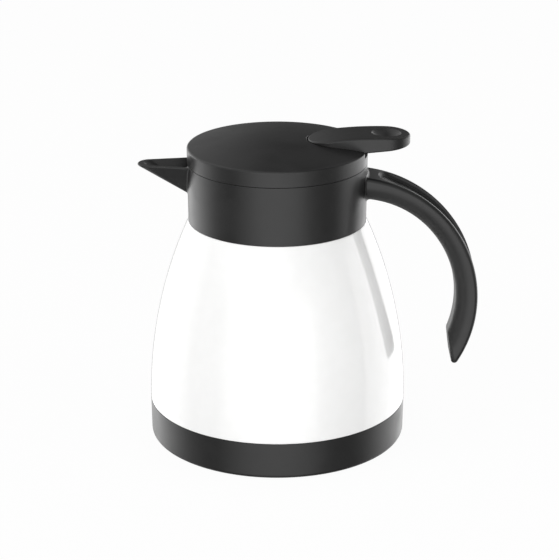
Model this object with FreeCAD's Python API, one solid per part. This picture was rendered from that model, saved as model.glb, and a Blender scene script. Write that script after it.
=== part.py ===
import FreeCAD, Part
import math
import os

from FreeCAD import Vector

# Insulated teapot: a double-walled steel pot in a plastic base, collar and handle, closed by a
# screw-in stopper lid whose thumb lever lifts a pouring valve. Sizes are in millimetres.
# The origin is the centre of the foot on the table. +Z is up, the spout points to -X, the handle to +X.

# Pot outside
BODY_RADIUS = 66.2            # widest part of the bell-shaped wall, flush with the base
BODY_ARC_RADIUS = 232.7       # bulge of the wall in side view, upright where it meets the base
BASE_HEIGHT = 19.2            # top edge of the base band
BELL_HEIGHT = 96.5            # wall seen between base and collar
COLLAR_HEIGHT = 29.8
LID_SKIRT = 8.2               # from the joint line up to the outer edge of the lid top
LID_FLARE = 0.35              # how much wider the lid rim is than the foot of the collar
LID_CROWN = 4.4               # rise of the lid top above its rim
LID_EDGE_ROUND = 1.0

# Clearances
SEAM_GAP = 0.2                # open joint lines between neighbours
FIT_GAP = 0.1                 # pieces pushed together
RUNNING_GAP = 0.06            # pin and stem in their bores, on the radius
MOVING_GAP = 0.4              # between pieces that move past each other
OVERRUN = 3.0                 # length by which a cut runs out of the material

# Vacuum vessel
STEEL_WALL = 0.6
VACUUM_GAP = 4.4
SHOULDER_WIDTH = 5.75         # flat shoulder under the collar, outside the neck
NECK_VACUUM_GAP = 0.5
MOUTH_DROP = 17.5             # mouth of the vessel below the joint line of the lid
GROOVE_SHARE = 0.36           # place of the snap groove in the height of the neck
GROOVE_HEIGHT = 2.8
GROOVE_DEPTH = 0.8
FLOOR_VACUUM_GAP = 5.0        # from the foot of the shell up to the liner floor
LINER_SHOULDER_DROP = 2.4     # free height between the two shoulders
FOIL_WALL = 0.15
FOIL_MARGIN = 3.0             # bare liner left below its shoulder
BOTTOM_FLANGE = 3.5
DIMPLE_RADIUS = 14.0
DIMPLE_DEPTH = 1.2
VACUUM_HOLE_RADIUS = 1.0
BEAD_RADIUS = 4.0
BEAD_HEIGHT = 0.9
GETTER_RADIUS = 5.0
GETTER_HEIGHT = 1.6

# Base
BASE_TAPER = 0.2              # how much narrower the band is at its foot
BASE_EDGE_ROUND = 2.0
BASE_WALL = 2.0
BASE_FLOOR = 2.0
BASE_LIFT = 0.3               # the hard base stands this far off the table on its pad
LEDGE_WIDTH = 5.0
LEDGE_RISE = 1.1              # the shell stands this far above the floor of the base
PAD_INSET = 10.2              # pad edge inside the widest part of the pot
PAD_THICKNESS = 1.4

# Collar and spout
COLLAR_WALL = 2.4
COLLAR_EDGE_ROUND = 0.15
SPOUT_REACH = 26.5            # from the foot of the collar to the tip, before its edge is rounded
SPOUT_TIP_RADIUS = 6.7
SPOUT_HALF_WIDTH = 10.0       # at the rim, where the spout leaves the collar
SPOUT_RIM_DROP = 0.6          # below the top of the collar
SPOUT_DEPTH = 16.0            # from the rim down to the lower end of the keel
SPOUT_WALL = 1.9
SPOUT_TIP_WALL = 4.4          # thicker lip at the very tip
SPOUT_ROOT_ROUND = 1.6
SPOUT_LIP_ROUND = 0.5
SPOUT_KEEL_SHARE = 0.12       # size of the lower end of the beak against its rim

# Neck sleeve and screw thread
GASKET_THICKNESS = 0.8
FLANGE_THICKNESS = 2.0
SLEEVE_WALL = 1.4
SLEEVE_DROP = 18.0            # how far the sleeve hangs below the mouth
SEAT_STEP = 2.9               # narrow lower bore inside the upper one, where the stopper seals
SEAT_HEIGHT = 2.5
THREAD_LEAD = 24.0
THREAD_STARTS = 3
THREAD_HEIGHT = 2.2
THREAD_DEPTH = 1.6
THREAD_ROOT = 0.5             # depth to which a rib is sunk in its wall
THREAD_PLAY = 0.4
THREAD_RISE = 5.8             # lower end of a rib above the seat
RIB_SPAN = 70.0
LUG_SPAN = 50.0

# Stopper
STOPPER_WALL = 2.2
DECK_DROP = 6.7               # deck top below the joint line
DECK_THICKNESS = 2.4
DECK_PLAY = 0.9               # between the deck edge and the collar
PORT_COUNT = 6
PORT_SPAN = 32.0
PORT_HEIGHT = 4.6
PORT_DROP = 0.6               # solid wall left between the ports and the deck
SEAL_WALL = 1.4
SEAL_PLAY = 0.3
SEAL_END_GAP = 0.3
SEAT_PLATE = 2.0
SEAT_SPIGOT = 2.0
VALVE_PORT_RADIUS = 9.0

# Valve
STEM_RADIUS = 2.0
VALVE_RADIUS = 12.0
VALVE_PLATE = 2.0
VALVE_PLATE_INSET = 0.8
VALVE_SEAT_GAP = 0.1
GASKET_DISC = 1.5
SPIGOT_RADIUS = 3.0
RETAINER_RADIUS = 7.0
RETAINER_HEIGHT = 1.5
HEAD_RADIUS = 6.5
HEAD_HEIGHT = 2.5
HEAD_COVER = 0.7              # head left above the end of the stem
BUSH_WALL = 2.0
BUSH_FLANGE = 1.0
BUSH_FLANGE_WIDTH = 2.0
BUSH_TAIL = 3.0
O_RING_SECTION = 0.6
O_RING_POCKET = 1.6
SPRING_WIRE = 0.45
SPRING_RADIUS = 6.2
SPRING_TURNS = 7

# Lid cover
COVER_WALL = 2.2
POCKET_GAP = 0.5              # around the lever
POCKET_DEPTH = 3.1            # pocket floor below the rim
POCKET_WALL = 1.8
POCKET_EDGE_ROUND = 0.4
SLOT_GAP = 0.5
POST_RADIUS = 3.4
POST_INSET = 9.0              # post centres inside the lid rim
POST_COUNT = 3
POST_PHASE = 60.0
PILOT_DEPTH = 9.0
SCREW_CLEARANCE = 0.3

# Thumb lever
LEVER_HALF_WIDTH = 12.3
LEVER_LENGTH = 51.6
LEVER_REACH = 21.2            # end of the lever past the lid rim
LEVER_RISE = 7.1              # highest point above the lid rim
LEVER_CREST_INSET = 16.5      # highest point before the end
LEVER_TOP_RADIUS = 190.0
LEVER_TOP_ROUND = 0.9
LEVER_TIP_RISE = 1.55         # sloping underside of the overhanging part at its end, above the lid rim
LEVER_ROOT_SINK = 0.7         # the same underside where it starts, below the lid rim
LEVER_HEEL_RISE = 1.5         # underside above the pocket floor, outside the pin
LEVER_TOE_RISE = 0.5          # underside above the pocket floor, inside the pin
LEVER_STEP_INSET = 2.0        # start of the overhanging part, inside the lid rim
DIMPLE_PAD_RADIUS = 7.7
DIMPLE_PAD_DEPTH = 2.6
DIMPLE_PAD_INSET = 11.8       # middle of the finger dimple before the end
PIN_INSET = 5.6               # pin centre inside the lid rim
PIN_DROP = 5.4                # pin centre below the lid rim
PIN_RADIUS = 1.5
HUB_RADIUS = 3.2
WEB_HALF_WIDTH = 4.5
WEB_LENGTH = 12.5             # web in front of the pin
WEB_SINK = 2.0                # web carried up into the plate of the lever
TONGUE_END_X = -3.0
TONGUE_BEND = 18.0            # in front of the pin
TONGUE_RISE = 1.0             # free height over the deck
TONGUE_HEIGHT = 3.2
TONGUE_HALF_WIDTH = 5.6
FORK_GAP = 0.7
FORK_END_X = 1.4              # centre of the round end of the fork slot
FORK_DEPTH_X = 6.0
NUB_RADIUS = 0.9
NUB_GAP = 0.35

# Screws
SCREW_RADIUS = 1.25
SCREW_HEAD_RADIUS = 2.2
SCREW_HEAD_HEIGHT = 1.6
SCREW_DRIVE_RADIUS = 0.8
SCREW_DRIVE_DEPTH = 1.0
LID_SCREW_LENGTH = 10.0
HANDLE_SCREW_LENGTH = 7.5
HANDLE_SCREW_OFFSET = 5.2
HANDLE_SCREW_BED = 0.6        # flat sunk in the collar wall under each screw head

# Handle
HANDLE_OUTER_RADIUS = 65.9
HANDLE_THICKNESS = 11.25
HANDLE_TOP_DROP = 5.3         # highest point of the outer curve below the joint line of the lid
HANDLE_CENTRE_INSET = 8.5     # centre of the curves inside the foot of the collar
HANDLE_SWELL_ANGLE = 42.0     # from here to the collar the inner curve is closer, so the root is thicker
HANDLE_SWELL_SHARE = 0.9      # radius of that closer curve against the inner one
HANDLE_HALF_WIDTH = 11.2
HANDLE_CUT_ANGLE = -20.5      # where the inner curve stops
HANDLE_TIP_ANGLE = -35.3      # where the outer curve stops
HANDLE_TIP_ROUND = 1.8
HANDLE_GRIP_ROUND = 8.4
HANDLE_BACK_ROUND = 2.2
HANDLE_ROOT_ROUND = 1.7
CHANNEL_HALF_WIDTH = 8.1
CHANNEL_DEPTH = 2.4
CHANNEL_START_DEPTH = 1.0     # the floor of the groove rises towards its upper end
CHANNEL_START_ANGLE = 77.2
CHANNEL_STOP_ANGLE = -24.0
CHANNEL_END_ROUND = 7.6
CHANNEL_FLOOR_ROUND = 2.0
CHANNEL_EDGE_ROUND = 0.5

# Turns
FULL_TURN = 360.0
DIAGONAL_SHARE = math.sqrt(0.5)
AXIS = Vector(0, 0, 1)
ALONG_X = Vector(1, 0, 0)
ALONG_Y = Vector(0, 1, 0)

# Heights and radii that follow from the sizes above
COLLAR_FOOT_Z = BASE_HEIGHT + BELL_HEIGHT
COLLAR_TOP_Z = COLLAR_FOOT_Z + COLLAR_HEIGHT
LID_RIM_Z = COLLAR_TOP_Z + LID_SKIRT
MOUTH_Z = COLLAR_TOP_Z - MOUTH_DROP
SHELL_FOOT_Z = PAD_THICKNESS + BASE_FLOOR + LEDGE_RISE
LINER_FLOOR_Z = SHELL_FOOT_Z + FLOOR_VACUUM_GAP
COLLAR_FOOT_RADIUS = BODY_RADIUS - BODY_ARC_RADIUS + math.sqrt(BODY_ARC_RADIUS ** 2 - BELL_HEIGHT ** 2)
LID_RADIUS = COLLAR_FOOT_RADIUS + LID_FLARE
NECK_RADIUS = COLLAR_FOOT_RADIUS - SHOULDER_WIDTH
SPOUT_TIP_X = COLLAR_FOOT_RADIUS + SPOUT_REACH
PAD_RADIUS = BODY_RADIUS - PAD_INSET
SHOULDER_Z = COLLAR_FOOT_Z - SEAM_GAP
LINER_INSET = STEEL_WALL + VACUUM_GAP
LINER_SHOULDER_Z = SHOULDER_Z - STEEL_WALL - LINER_SHOULDER_DROP
LINER_NECK_RADIUS = NECK_RADIUS - STEEL_WALL - GROOVE_DEPTH - NECK_VACUUM_GAP
GROOVE_Z = SHOULDER_Z + GROOVE_SHARE * (MOUTH_Z - SHOULDER_Z)
BASE_BORE = BODY_RADIUS - BASE_WALL
SHELL_FOOT_RADIUS = BASE_BORE - FIT_GAP
LIP_Z = MOUTH_Z + STEEL_WALL
FLANGE_Z = LIP_Z + GASKET_THICKNESS
GUTTER_Z = FLANGE_Z + FLANGE_THICKNESS
SLEEVE_RADIUS = LINER_NECK_RADIUS - STEEL_WALL - FIT_GAP
BORE_RADIUS = SLEEVE_RADIUS - SLEEVE_WALL
SEAT_RADIUS = BORE_RADIUS - SEAT_STEP
SLEEVE_FOOT_Z = MOUTH_Z - SLEEVE_DROP
SEAT_TOP_Z = SLEEVE_FOOT_Z + SEAT_HEIGHT
STOPPER_RADIUS = BORE_RADIUS - THREAD_DEPTH - MOVING_GAP
STOPPER_FOOT_RADIUS = SEAT_RADIUS - SEAL_PLAY - SEAL_WALL - SEAL_END_GAP
STOPPER_STEP_Z = SEAT_TOP_Z + MOVING_GAP
SEAL_HEIGHT = SEAT_HEIGHT + MOVING_GAP + SEAL_WALL
SEAL_Z = STOPPER_STEP_Z - SEAL_END_GAP - SEAL_HEIGHT
STOPPER_FOOT_Z = SEAL_Z - SEAL_END_GAP
DECK_Z = COLLAR_TOP_Z - DECK_DROP
DECK_UNDER_Z = DECK_Z - DECK_THICKNESS
PORT_TOP_Z = DECK_UNDER_Z - PORT_DROP
CHAMBER_RADIUS = STOPPER_FOOT_RADIUS - STOPPER_WALL
RIB_Z = SEAT_TOP_Z + THREAD_RISE
LUG_LAG = (RIB_SPAN - LUG_SPAN) / 2
LUG_Z = RIB_Z - THREAD_HEIGHT - THREAD_PLAY + THREAD_LEAD * LUG_LAG / FULL_TURN
SEAT_FACE_Z = STOPPER_FOOT_Z + SEAT_SPIGOT
VALVE_Z = SEAT_FACE_Z + VALVE_SEAT_GAP
VALVE_PLATE_Z = VALVE_Z + GASKET_DISC
VALVE_TOP_Z = VALVE_PLATE_Z + VALVE_PLATE
TONGUE_Z = DECK_Z + TONGUE_RISE
TONGUE_TOP_Z = TONGUE_Z + TONGUE_HEIGHT
HEAD_Z = TONGUE_TOP_Z + NUB_RADIUS + NUB_GAP
STEM_TOP_Z = HEAD_Z + HEAD_HEIGHT - HEAD_COVER
BUSH_RADIUS = STEM_RADIUS + RUNNING_GAP + BUSH_WALL
BUSH_FLANGE_Z = DECK_UNDER_Z - BUSH_FLANGE
BUSH_FOOT_Z = BUSH_FLANGE_Z - BUSH_TAIL
COVER_FOOT_Z = COLLAR_TOP_Z + SEAM_GAP
POCKET_FLOOR_Z = LID_RIM_Z - POCKET_DEPTH
WELL_FLOOR_Z = POCKET_FLOOR_Z - POCKET_WALL
POST_CIRCLE = LID_RADIUS - POST_INSET
LEVER_TOP_Z = LID_RIM_Z + LEVER_RISE
LEVER_TIP_Z = LID_RIM_Z + LEVER_TIP_RISE
LEVER_ROOT_Z = LID_RIM_Z - LEVER_ROOT_SINK
LEVER_END_X = LID_RADIUS + LEVER_REACH
LEVER_NOSE_X = LEVER_END_X - LEVER_LENGTH
LEVER_CREST_X = LEVER_END_X - LEVER_CREST_INSET
LEVER_STEP_X = LID_RADIUS - LEVER_STEP_INSET
PIN_X = LID_RADIUS - PIN_INSET
PIN_Z = LID_RIM_Z - PIN_DROP
WEB_FRONT_X = PIN_X - WEB_LENGTH
TONGUE_BEND_X = PIN_X - TONGUE_BEND
PIN_HALF_LENGTH = LEVER_HALF_WIDTH + POCKET_GAP + POCKET_WALL
HANDLE_SCREW_Z = (GUTTER_Z + DECK_UNDER_Z) / 2
HANDLE_INNER_RADIUS = HANDLE_OUTER_RADIUS - HANDLE_THICKNESS
HANDLE_SWELL_RADIUS = HANDLE_INNER_RADIUS * HANDLE_SWELL_SHARE
HANDLE_CENTRE_X = COLLAR_FOOT_RADIUS - HANDLE_CENTRE_INSET
HANDLE_CENTRE_Z = COLLAR_TOP_Z - HANDLE_TOP_DROP - HANDLE_OUTER_RADIUS
SPOUT_RIM_Z = COLLAR_TOP_Z - SPOUT_RIM_DROP
SPOUT_KEEL_Z = SPOUT_RIM_Z - SPOUT_DEPTH


def outline(start, *steps):
    """Closed face in the X-Z plane. A step is an end point, or a point on an arc with its end point."""
    edges = []
    here = Vector(start[0], 0, start[1])
    for step in steps + (start,):
        if isinstance(step[0], tuple):
            through, end = (Vector(x, 0, z) for x, z in step)
            edges.append(Part.Arc(here, through, end).toShape())
        else:
            end = Vector(step[0], 0, step[1])
            if (end - here).Length == 0:
                continue
            edges.append(Part.makeLine(here, end))
        here = end
    return Part.Face(Part.Wire(edges))


def turned(start, *steps):
    """Solid of revolution about the Z axis."""
    return outline(start, *steps).revolve(Vector(0, 0, 0), AXIS, FULL_TURN)


def ring(inner, outer, bottom, top):
    return turned((inner, bottom), (outer, bottom), (outer, top), (inner, top))


def rod(radius, bottom, top, x=0, y=0):
    return Part.makeCylinder(radius, top - bottom, Vector(x, y, bottom), AXIS)


def slab(face, half_width):
    """An X-Z face made into a solid of even width across Y."""
    solid = face.extrude(ALONG_Y * (2 * half_width))
    solid.translate(ALONG_Y * -half_width)
    return solid


def block(x_from, x_to, y_from, y_to, z_from, z_to):
    return Part.makeBox(x_to - x_from, y_to - y_from, z_to - z_from, Vector(x_from, y_from, z_from))


def fused(first, *others):
    return first.fuse(list(others)).removeSplitter()


def around(shape, angle):
    copy = shape.copy()
    copy.rotate(Vector(0, 0, 0), AXIS, angle)
    return copy


def edges_where(shape, test):
    """Edges of which the ends and the middle all pass a test on their position."""
    chosen = []
    for edge in shape.Edges:
        first, last = edge.ParameterRange
        spots = [edge.valueAt(first), edge.valueAt((first + last) / 2), edge.valueAt(last)]
        if all(test(spot) for spot in spots):
            chosen.append(edge)
    return chosen


def wall_radius(z, inset):
    """Radius of the bell-shaped wall at a height, moved inwards by an inset."""
    arc = BODY_ARC_RADIUS - inset
    return BODY_RADIUS - BODY_ARC_RADIUS + math.sqrt(arc ** 2 - (z - BASE_HEIGHT) ** 2)


def wall_arc(z_from, z_to, inset):
    z_mid = (z_from + z_to) / 2
    return (wall_radius(z_mid, inset), z_mid), (wall_radius(z_to, inset), z_to)


def collar_radius(z):
    """Outside of collar and lid skirt: a slight flare from the shell up to the lid rim."""
    return COLLAR_FOOT_RADIUS + LID_FLARE * (z - COLLAR_FOOT_Z) / (LID_RIM_Z - COLLAR_FOOT_Z)


def collar_solid(z_from, z_to, inset):
    return turned((0, z_from), (collar_radius(z_from) - inset, z_from),
                  (collar_radius(z_to) - inset, z_to), (0, z_to))


def polar(radius, angle):
    """Point on a circle about the centre of the handle."""
    turn = math.radians(angle)
    return HANDLE_CENTRE_X + radius * math.cos(turn), HANDLE_CENTRE_Z + radius * math.sin(turn)


def outer_shell():
    joggle = BASE_HEIGHT + SEAM_GAP
    inside = joggle + STEEL_WALL
    return turned(
        (SHELL_FOOT_RADIUS, SHELL_FOOT_Z), (SHELL_FOOT_RADIUS, joggle), (wall_radius(joggle, 0), joggle),
        wall_arc(joggle, SHOULDER_Z, 0), (wall_radius(SHOULDER_Z, STEEL_WALL), SHOULDER_Z),
        wall_arc(SHOULDER_Z, inside, STEEL_WALL), (SHELL_FOOT_RADIUS - STEEL_WALL, inside),
        (SHELL_FOOT_RADIUS - STEEL_WALL, SHELL_FOOT_Z))


def shell_neck():
    """Shoulder and neck welded into the upper edge of the shell, with the groove that holds the collar."""
    edge = wall_radius(SHOULDER_Z, STEEL_WALL) - FIT_GAP
    under = SHOULDER_Z - STEEL_WALL
    groove_top = GROOVE_Z + GROOVE_HEIGHT
    groove_radius = NECK_RADIUS - GROOVE_DEPTH
    return turned(
        (edge, under), (edge, SHOULDER_Z), (NECK_RADIUS, SHOULDER_Z), (NECK_RADIUS, GROOVE_Z),
        (groove_radius, GROOVE_Z), (groove_radius, groove_top), (NECK_RADIUS, groove_top),
        (NECK_RADIUS, MOUTH_Z), (NECK_RADIUS - STEEL_WALL, MOUTH_Z),
        (NECK_RADIUS - STEEL_WALL, groove_top + STEEL_WALL),
        (groove_radius - STEEL_WALL, groove_top + STEEL_WALL),
        (groove_radius - STEEL_WALL, GROOVE_Z - STEEL_WALL),
        (NECK_RADIUS - STEEL_WALL, GROOVE_Z - STEEL_WALL), (NECK_RADIUS - STEEL_WALL, under))


def floor_corner(inset, floor_z):
    """Rounded corner between liner floor and wall: start, point on the arc and end."""
    side = wall_radius(BASE_HEIGHT, inset)
    radius = BASE_HEIGHT - floor_z
    centre = side - radius
    middle = radius * DIAGONAL_SHARE
    return (centre, floor_z), (centre + middle, BASE_HEIGHT - middle), (side, BASE_HEIGHT)


def liner_floor():
    start, through, end = floor_corner(LINER_INSET, LINER_FLOOR_Z)
    start_in, through_in, end_in = floor_corner(LINER_INSET + STEEL_WALL, LINER_FLOOR_Z + STEEL_WALL)
    return turned((0, LINER_FLOOR_Z), start, (through, end), end_in, (through_in, start_in),
                  (0, LINER_FLOOR_Z + STEEL_WALL))


def inner_liner():
    inset = LINER_INSET + STEEL_WALL
    return turned(
        (wall_radius(BASE_HEIGHT, LINER_INSET), BASE_HEIGHT),
        wall_arc(BASE_HEIGHT, LINER_SHOULDER_Z, LINER_INSET),
        (wall_radius(LINER_SHOULDER_Z, inset), LINER_SHOULDER_Z),
        wall_arc(LINER_SHOULDER_Z, BASE_HEIGHT, inset))


def liner_neck():
    """Shoulder and neck welded into the liner, turned out at the top into the lip over the outer shell."""
    edge = wall_radius(LINER_SHOULDER_Z, LINER_INSET + STEEL_WALL) - FIT_GAP
    under = LINER_SHOULDER_Z - STEEL_WALL
    bore = LINER_NECK_RADIUS - STEEL_WALL
    return turned(
        (bore, under), (edge, under), (edge, LINER_SHOULDER_Z), (LINER_NECK_RADIUS, LINER_SHOULDER_Z),
        (LINER_NECK_RADIUS, MOUTH_Z), (NECK_RADIUS, MOUTH_Z), (NECK_RADIUS, LIP_Z), (bore, LIP_Z))


def radiation_foil():
    inner = LINER_INSET - FIT_GAP
    outer = inner - FOIL_WALL
    top = LINER_SHOULDER_Z - FOIL_MARGIN
    return turned(
        (wall_radius(BASE_HEIGHT, outer), BASE_HEIGHT), wall_arc(BASE_HEIGHT, top, outer),
        (wall_radius(top, inner), top), wall_arc(top, BASE_HEIGHT, inner))


def shell_bottom():
    rim = SHELL_FOOT_RADIUS - STEEL_WALL - FIT_GAP
    plate = SHELL_FOOT_Z
    crown = plate + DIMPLE_DEPTH
    flange = plate + BOTTOM_FLANGE
    slope = DIMPLE_RADIUS + DIMPLE_DEPTH
    return turned(
        (VACUUM_HOLE_RADIUS, crown), (DIMPLE_RADIUS, crown), (slope, plate), (rim, plate), (rim, flange),
        (rim - STEEL_WALL, flange), (rim - STEEL_WALL, plate + STEEL_WALL), (slope, plate + STEEL_WALL),
        (DIMPLE_RADIUS, crown + STEEL_WALL), (VACUUM_HOLE_RADIUS, crown + STEEL_WALL))


def vacuum_bead():
    crown = SHELL_FOOT_Z + DIMPLE_DEPTH
    return rod(BEAD_RADIUS, crown - BEAD_HEIGHT, crown)


def getter():
    return rod(GETTER_RADIUS, LINER_FLOOR_Z - GETTER_HEIGHT, LINER_FLOOR_Z)


def base_cup():
    floor = PAD_THICKNESS + BASE_FLOOR
    recess = PAD_RADIUS + FIT_GAP
    foot = BODY_RADIUS - BASE_TAPER
    corner = BASE_EDGE_ROUND * (1 - DIAGONAL_SHARE)
    ledge = BASE_BORE - LEDGE_WIDTH
    return turned(
        (0, PAD_THICKNESS), (recess, PAD_THICKNESS), (recess, BASE_LIFT),
        (foot - BASE_EDGE_ROUND, BASE_LIFT),
        ((foot - corner, BASE_LIFT + corner), (foot, BASE_LIFT + BASE_EDGE_ROUND)),
        (BODY_RADIUS, BASE_HEIGHT), (BASE_BORE, BASE_HEIGHT), (BASE_BORE, SHELL_FOOT_Z),
        (ledge, SHELL_FOOT_Z), (ledge, floor), (0, floor))


def base_pad():
    return rod(PAD_RADIUS, 0, PAD_THICKNESS)


def beak(inset, tip_inset, back):
    """Pouring beak, moved inwards by an inset: a rounded plan at the rim, drawn down along the keel to a
    small copy of itself that ends at a distance from the axis. Gives the solid and its rim."""
    root_x = collar_radius(SPOUT_RIM_Z)
    tip_x = SPOUT_TIP_X - tip_inset
    tip_radius = SPOUT_TIP_RADIUS - inset
    half_width = SPOUT_HALF_WIDTH - inset
    centre = tip_x - tip_radius
    reach = math.hypot(centre - root_x, half_width)
    lean = math.atan2(half_width, centre - root_x) - math.asin(tip_radius / reach)
    inner_x = root_x - COLLAR_WALL - SPOUT_HALF_WIDTH
    inner_y = half_width + (root_x - inner_x) * math.tan(lean)
    touch_x = centre + tip_radius * math.sin(lean)
    touch_y = tip_radius * math.cos(lean)

    keel_root = collar_radius(SPOUT_KEEL_Z)
    slope = SPOUT_DEPTH / (SPOUT_TIP_X - keel_root)
    foot_z = SPOUT_KEEL_Z + inset * math.hypot(1, slope) - slope * (keel_root - back)
    pole_x = (back - SPOUT_KEEL_SHARE * tip_x) / (1 - SPOUT_KEEL_SHARE)

    def plan(share, z):
        def spot(x, y):
            return Vector(-pole_x - share * (x - pole_x), share * y, z)
        bend = Part.Arc(spot(touch_x, -touch_y), spot(tip_x, 0), spot(touch_x, touch_y)).toShape()
        return Part.Wire([
            Part.makeLine(spot(inner_x, -inner_y), spot(touch_x, -touch_y)), bend,
            Part.makeLine(spot(touch_x, touch_y), spot(inner_x, inner_y)),
            Part.makeLine(spot(inner_x, inner_y), spot(inner_x, -inner_y))])

    rim = plan(1, SPOUT_RIM_Z)
    return Part.makeLoft([plan(SPOUT_KEEL_SHARE, foot_z), rim], True, True), rim


def collar():
    foot = COLLAR_FOOT_Z
    inside = collar_radius(SPOUT_KEEL_Z) - COLLAR_WALL
    spout, _ = beak(0, 0, inside)
    lip = [edge for edge in edges_where(spout, lambda p: abs(p.z - SPOUT_RIM_Z) < FIT_GAP)
           if edge.CenterOfMass.x < -inside - FIT_GAP]
    spout = spout.makeFillet(SPOUT_LIP_ROUND, lip)
    body = fused(collar_solid(foot, COLLAR_TOP_Z, 0), spout)

    def on_collar(p):
        return abs(math.hypot(p.x, p.y) - collar_radius(p.z)) < FIT_GAP

    root = [edge for edge in edges_where(body, on_collar)
            if foot < edge.CenterOfMass.z < SPOUT_RIM_Z - FIT_GAP and edge.CenterOfMass.x < 0]
    body = body.makeFillet(SPOUT_ROOT_ROUND, root)
    channel, mouth = beak(SPOUT_WALL, SPOUT_TIP_WALL, inside - COLLAR_WALL)
    over = Part.Face(mouth).extrude(AXIS * (SPOUT_RIM_DROP + OVERRUN))

    web_low = GROOVE_Z + SEAM_GAP
    web_high = GROOVE_Z + GROOVE_HEIGHT - SEAM_GAP
    web_bore = NECK_RADIUS - GROOVE_DEPTH + SEAM_GAP
    hollow = fused(collar_solid(foot, web_low, COLLAR_WALL),
                   collar_solid(web_high, COLLAR_TOP_Z, COLLAR_WALL),
                   rod(web_bore, foot, COLLAR_TOP_Z))
    body = body.cut([hollow, channel, over])
    rim = edges_where(body, lambda p: abs(p.z - COLLAR_TOP_Z) < FIT_GAP and on_collar(p))
    body = body.makeFillet(COLLAR_EDGE_ROUND, rim)
    for y in handle_screw_rows():
        seat = handle_screw_seat(y)
        bed = Part.makeCylinder(SCREW_HEAD_RADIUS + SCREW_CLEARANCE, SCREW_HEAD_HEIGHT + OVERRUN,
                                Vector(seat, y, HANDLE_SCREW_Z), -ALONG_X)
        hole = Part.makeCylinder(SCREW_RADIUS + SCREW_CLEARANCE, COLLAR_WALL + OVERRUN,
                                 Vector(seat, y, HANDLE_SCREW_Z), ALONG_X)
        body = body.cut([bed, hole])
    return body


def helical_ribs(wall_side, free_side, low, span, start):
    """Equal thread ribs about Z. Each runs from its sunk side on a wall to its free side."""
    rise = THREAD_LEAD * span / FULL_TURN
    middle = (wall_side + free_side) / 2
    half = THREAD_HEIGHT / 2
    helix = Part.makeHelix(THREAD_LEAD, rise, middle)
    section = outline((wall_side, -half), (free_side, -half), (free_side, half), (wall_side, half))
    rib = Part.Wire(helix).makePipeShell([section.OuterWire], True, True)
    rib.translate(AXIS * low)
    return [around(rib, start + step * FULL_TURN / THREAD_STARTS) for step in range(THREAD_STARTS)]


def neck_sleeve():
    edge = collar_radius(GUTTER_Z) - COLLAR_WALL - FIT_GAP
    tube = turned(
        (SEAT_RADIUS, SLEEVE_FOOT_Z), (SLEEVE_RADIUS, SLEEVE_FOOT_Z), (SLEEVE_RADIUS, FLANGE_Z),
        (edge, FLANGE_Z), (edge, GUTTER_Z), (BORE_RADIUS, GUTTER_Z), (BORE_RADIUS, SEAT_TOP_Z),
        (SEAT_RADIUS, SEAT_TOP_Z))
    ribs = helical_ribs(BORE_RADIUS + THREAD_ROOT, BORE_RADIUS - THREAD_DEPTH, RIB_Z, RIB_SPAN, 0)
    return fused(tube, *ribs)


def neck_gasket():
    return ring(SLEEVE_RADIUS + FIT_GAP, NECK_RADIUS, LIP_Z, FLANGE_Z)


def screw(length):
    """Pan-head screw along Z: seat of the head at zero, shank upwards."""
    head = rod(SCREW_HEAD_RADIUS, -SCREW_HEAD_HEIGHT, 0)
    edge = edges_where(head, lambda p: abs(p.z + SCREW_HEAD_HEIGHT) < FIT_GAP)
    head = head.makeFillet(SCREW_HEAD_HEIGHT / 2, edge)
    drive = rod(SCREW_DRIVE_RADIUS, -SCREW_HEAD_HEIGHT, SCREW_DRIVE_DEPTH - SCREW_HEAD_HEIGHT)
    return fused(head, rod(SCREW_RADIUS, 0, length)).cut(drive)


def handle_screw_rows():
    return -HANDLE_SCREW_OFFSET, HANDLE_SCREW_OFFSET


def handle_screw_seat(y):
    inside = collar_radius(HANDLE_SCREW_Z) - COLLAR_WALL
    return math.sqrt(inside ** 2 - y ** 2) + HANDLE_SCREW_BED


def handle_screws():
    made = []
    for y in handle_screw_rows():
        one = screw(HANDLE_SCREW_LENGTH)
        one.rotate(Vector(0, 0, 0), ALONG_Y, FULL_TURN / 4)
        one.translate(Vector(handle_screw_seat(y), y, HANDLE_SCREW_Z))
        made.append(one)
    return Part.makeCompound(made)


def handle_channel():
    """Groove along the back of the handle, rounded at both ends. Its floor climbs to the upper end."""
    floor = HANDLE_OUTER_RADIUS - CHANNEL_DEPTH
    past = HANDLE_OUTER_RADIUS + OVERRUN
    first, last = CHANNEL_START_ANGLE, CHANNEL_STOP_ANGLE
    middle = (first + last) / 2
    shallow = HANDLE_OUTER_RADIUS - CHANNEL_START_DEPTH
    ramp = first - math.degrees(math.acos(floor / shallow))
    face = outline(polar(shallow, first), polar(floor, ramp),
                   (polar(floor, (ramp + last) / 2), polar(floor, last)), polar(past, last),
                   (polar(past, middle), polar(past, first)))
    tool = slab(face, CHANNEL_HALF_WIDTH)

    def radius_at(p):
        return math.hypot(p.x - HANDLE_CENTRE_X, p.z - HANDLE_CENTRE_Z)

    ends = [edge for edge in tool.Edges
            if abs(radius_at(edge.Vertexes[0].Point) - radius_at(edge.Vertexes[-1].Point)) > CHANNEL_DEPTH]
    tool = tool.makeFillet(CHANNEL_END_ROUND, ends)
    bottom = edges_where(tool, lambda p: radius_at(p) < HANDLE_OUTER_RADIUS)
    return tool.makeFillet(CHANNEL_FLOOR_ROUND, bottom)


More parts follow.
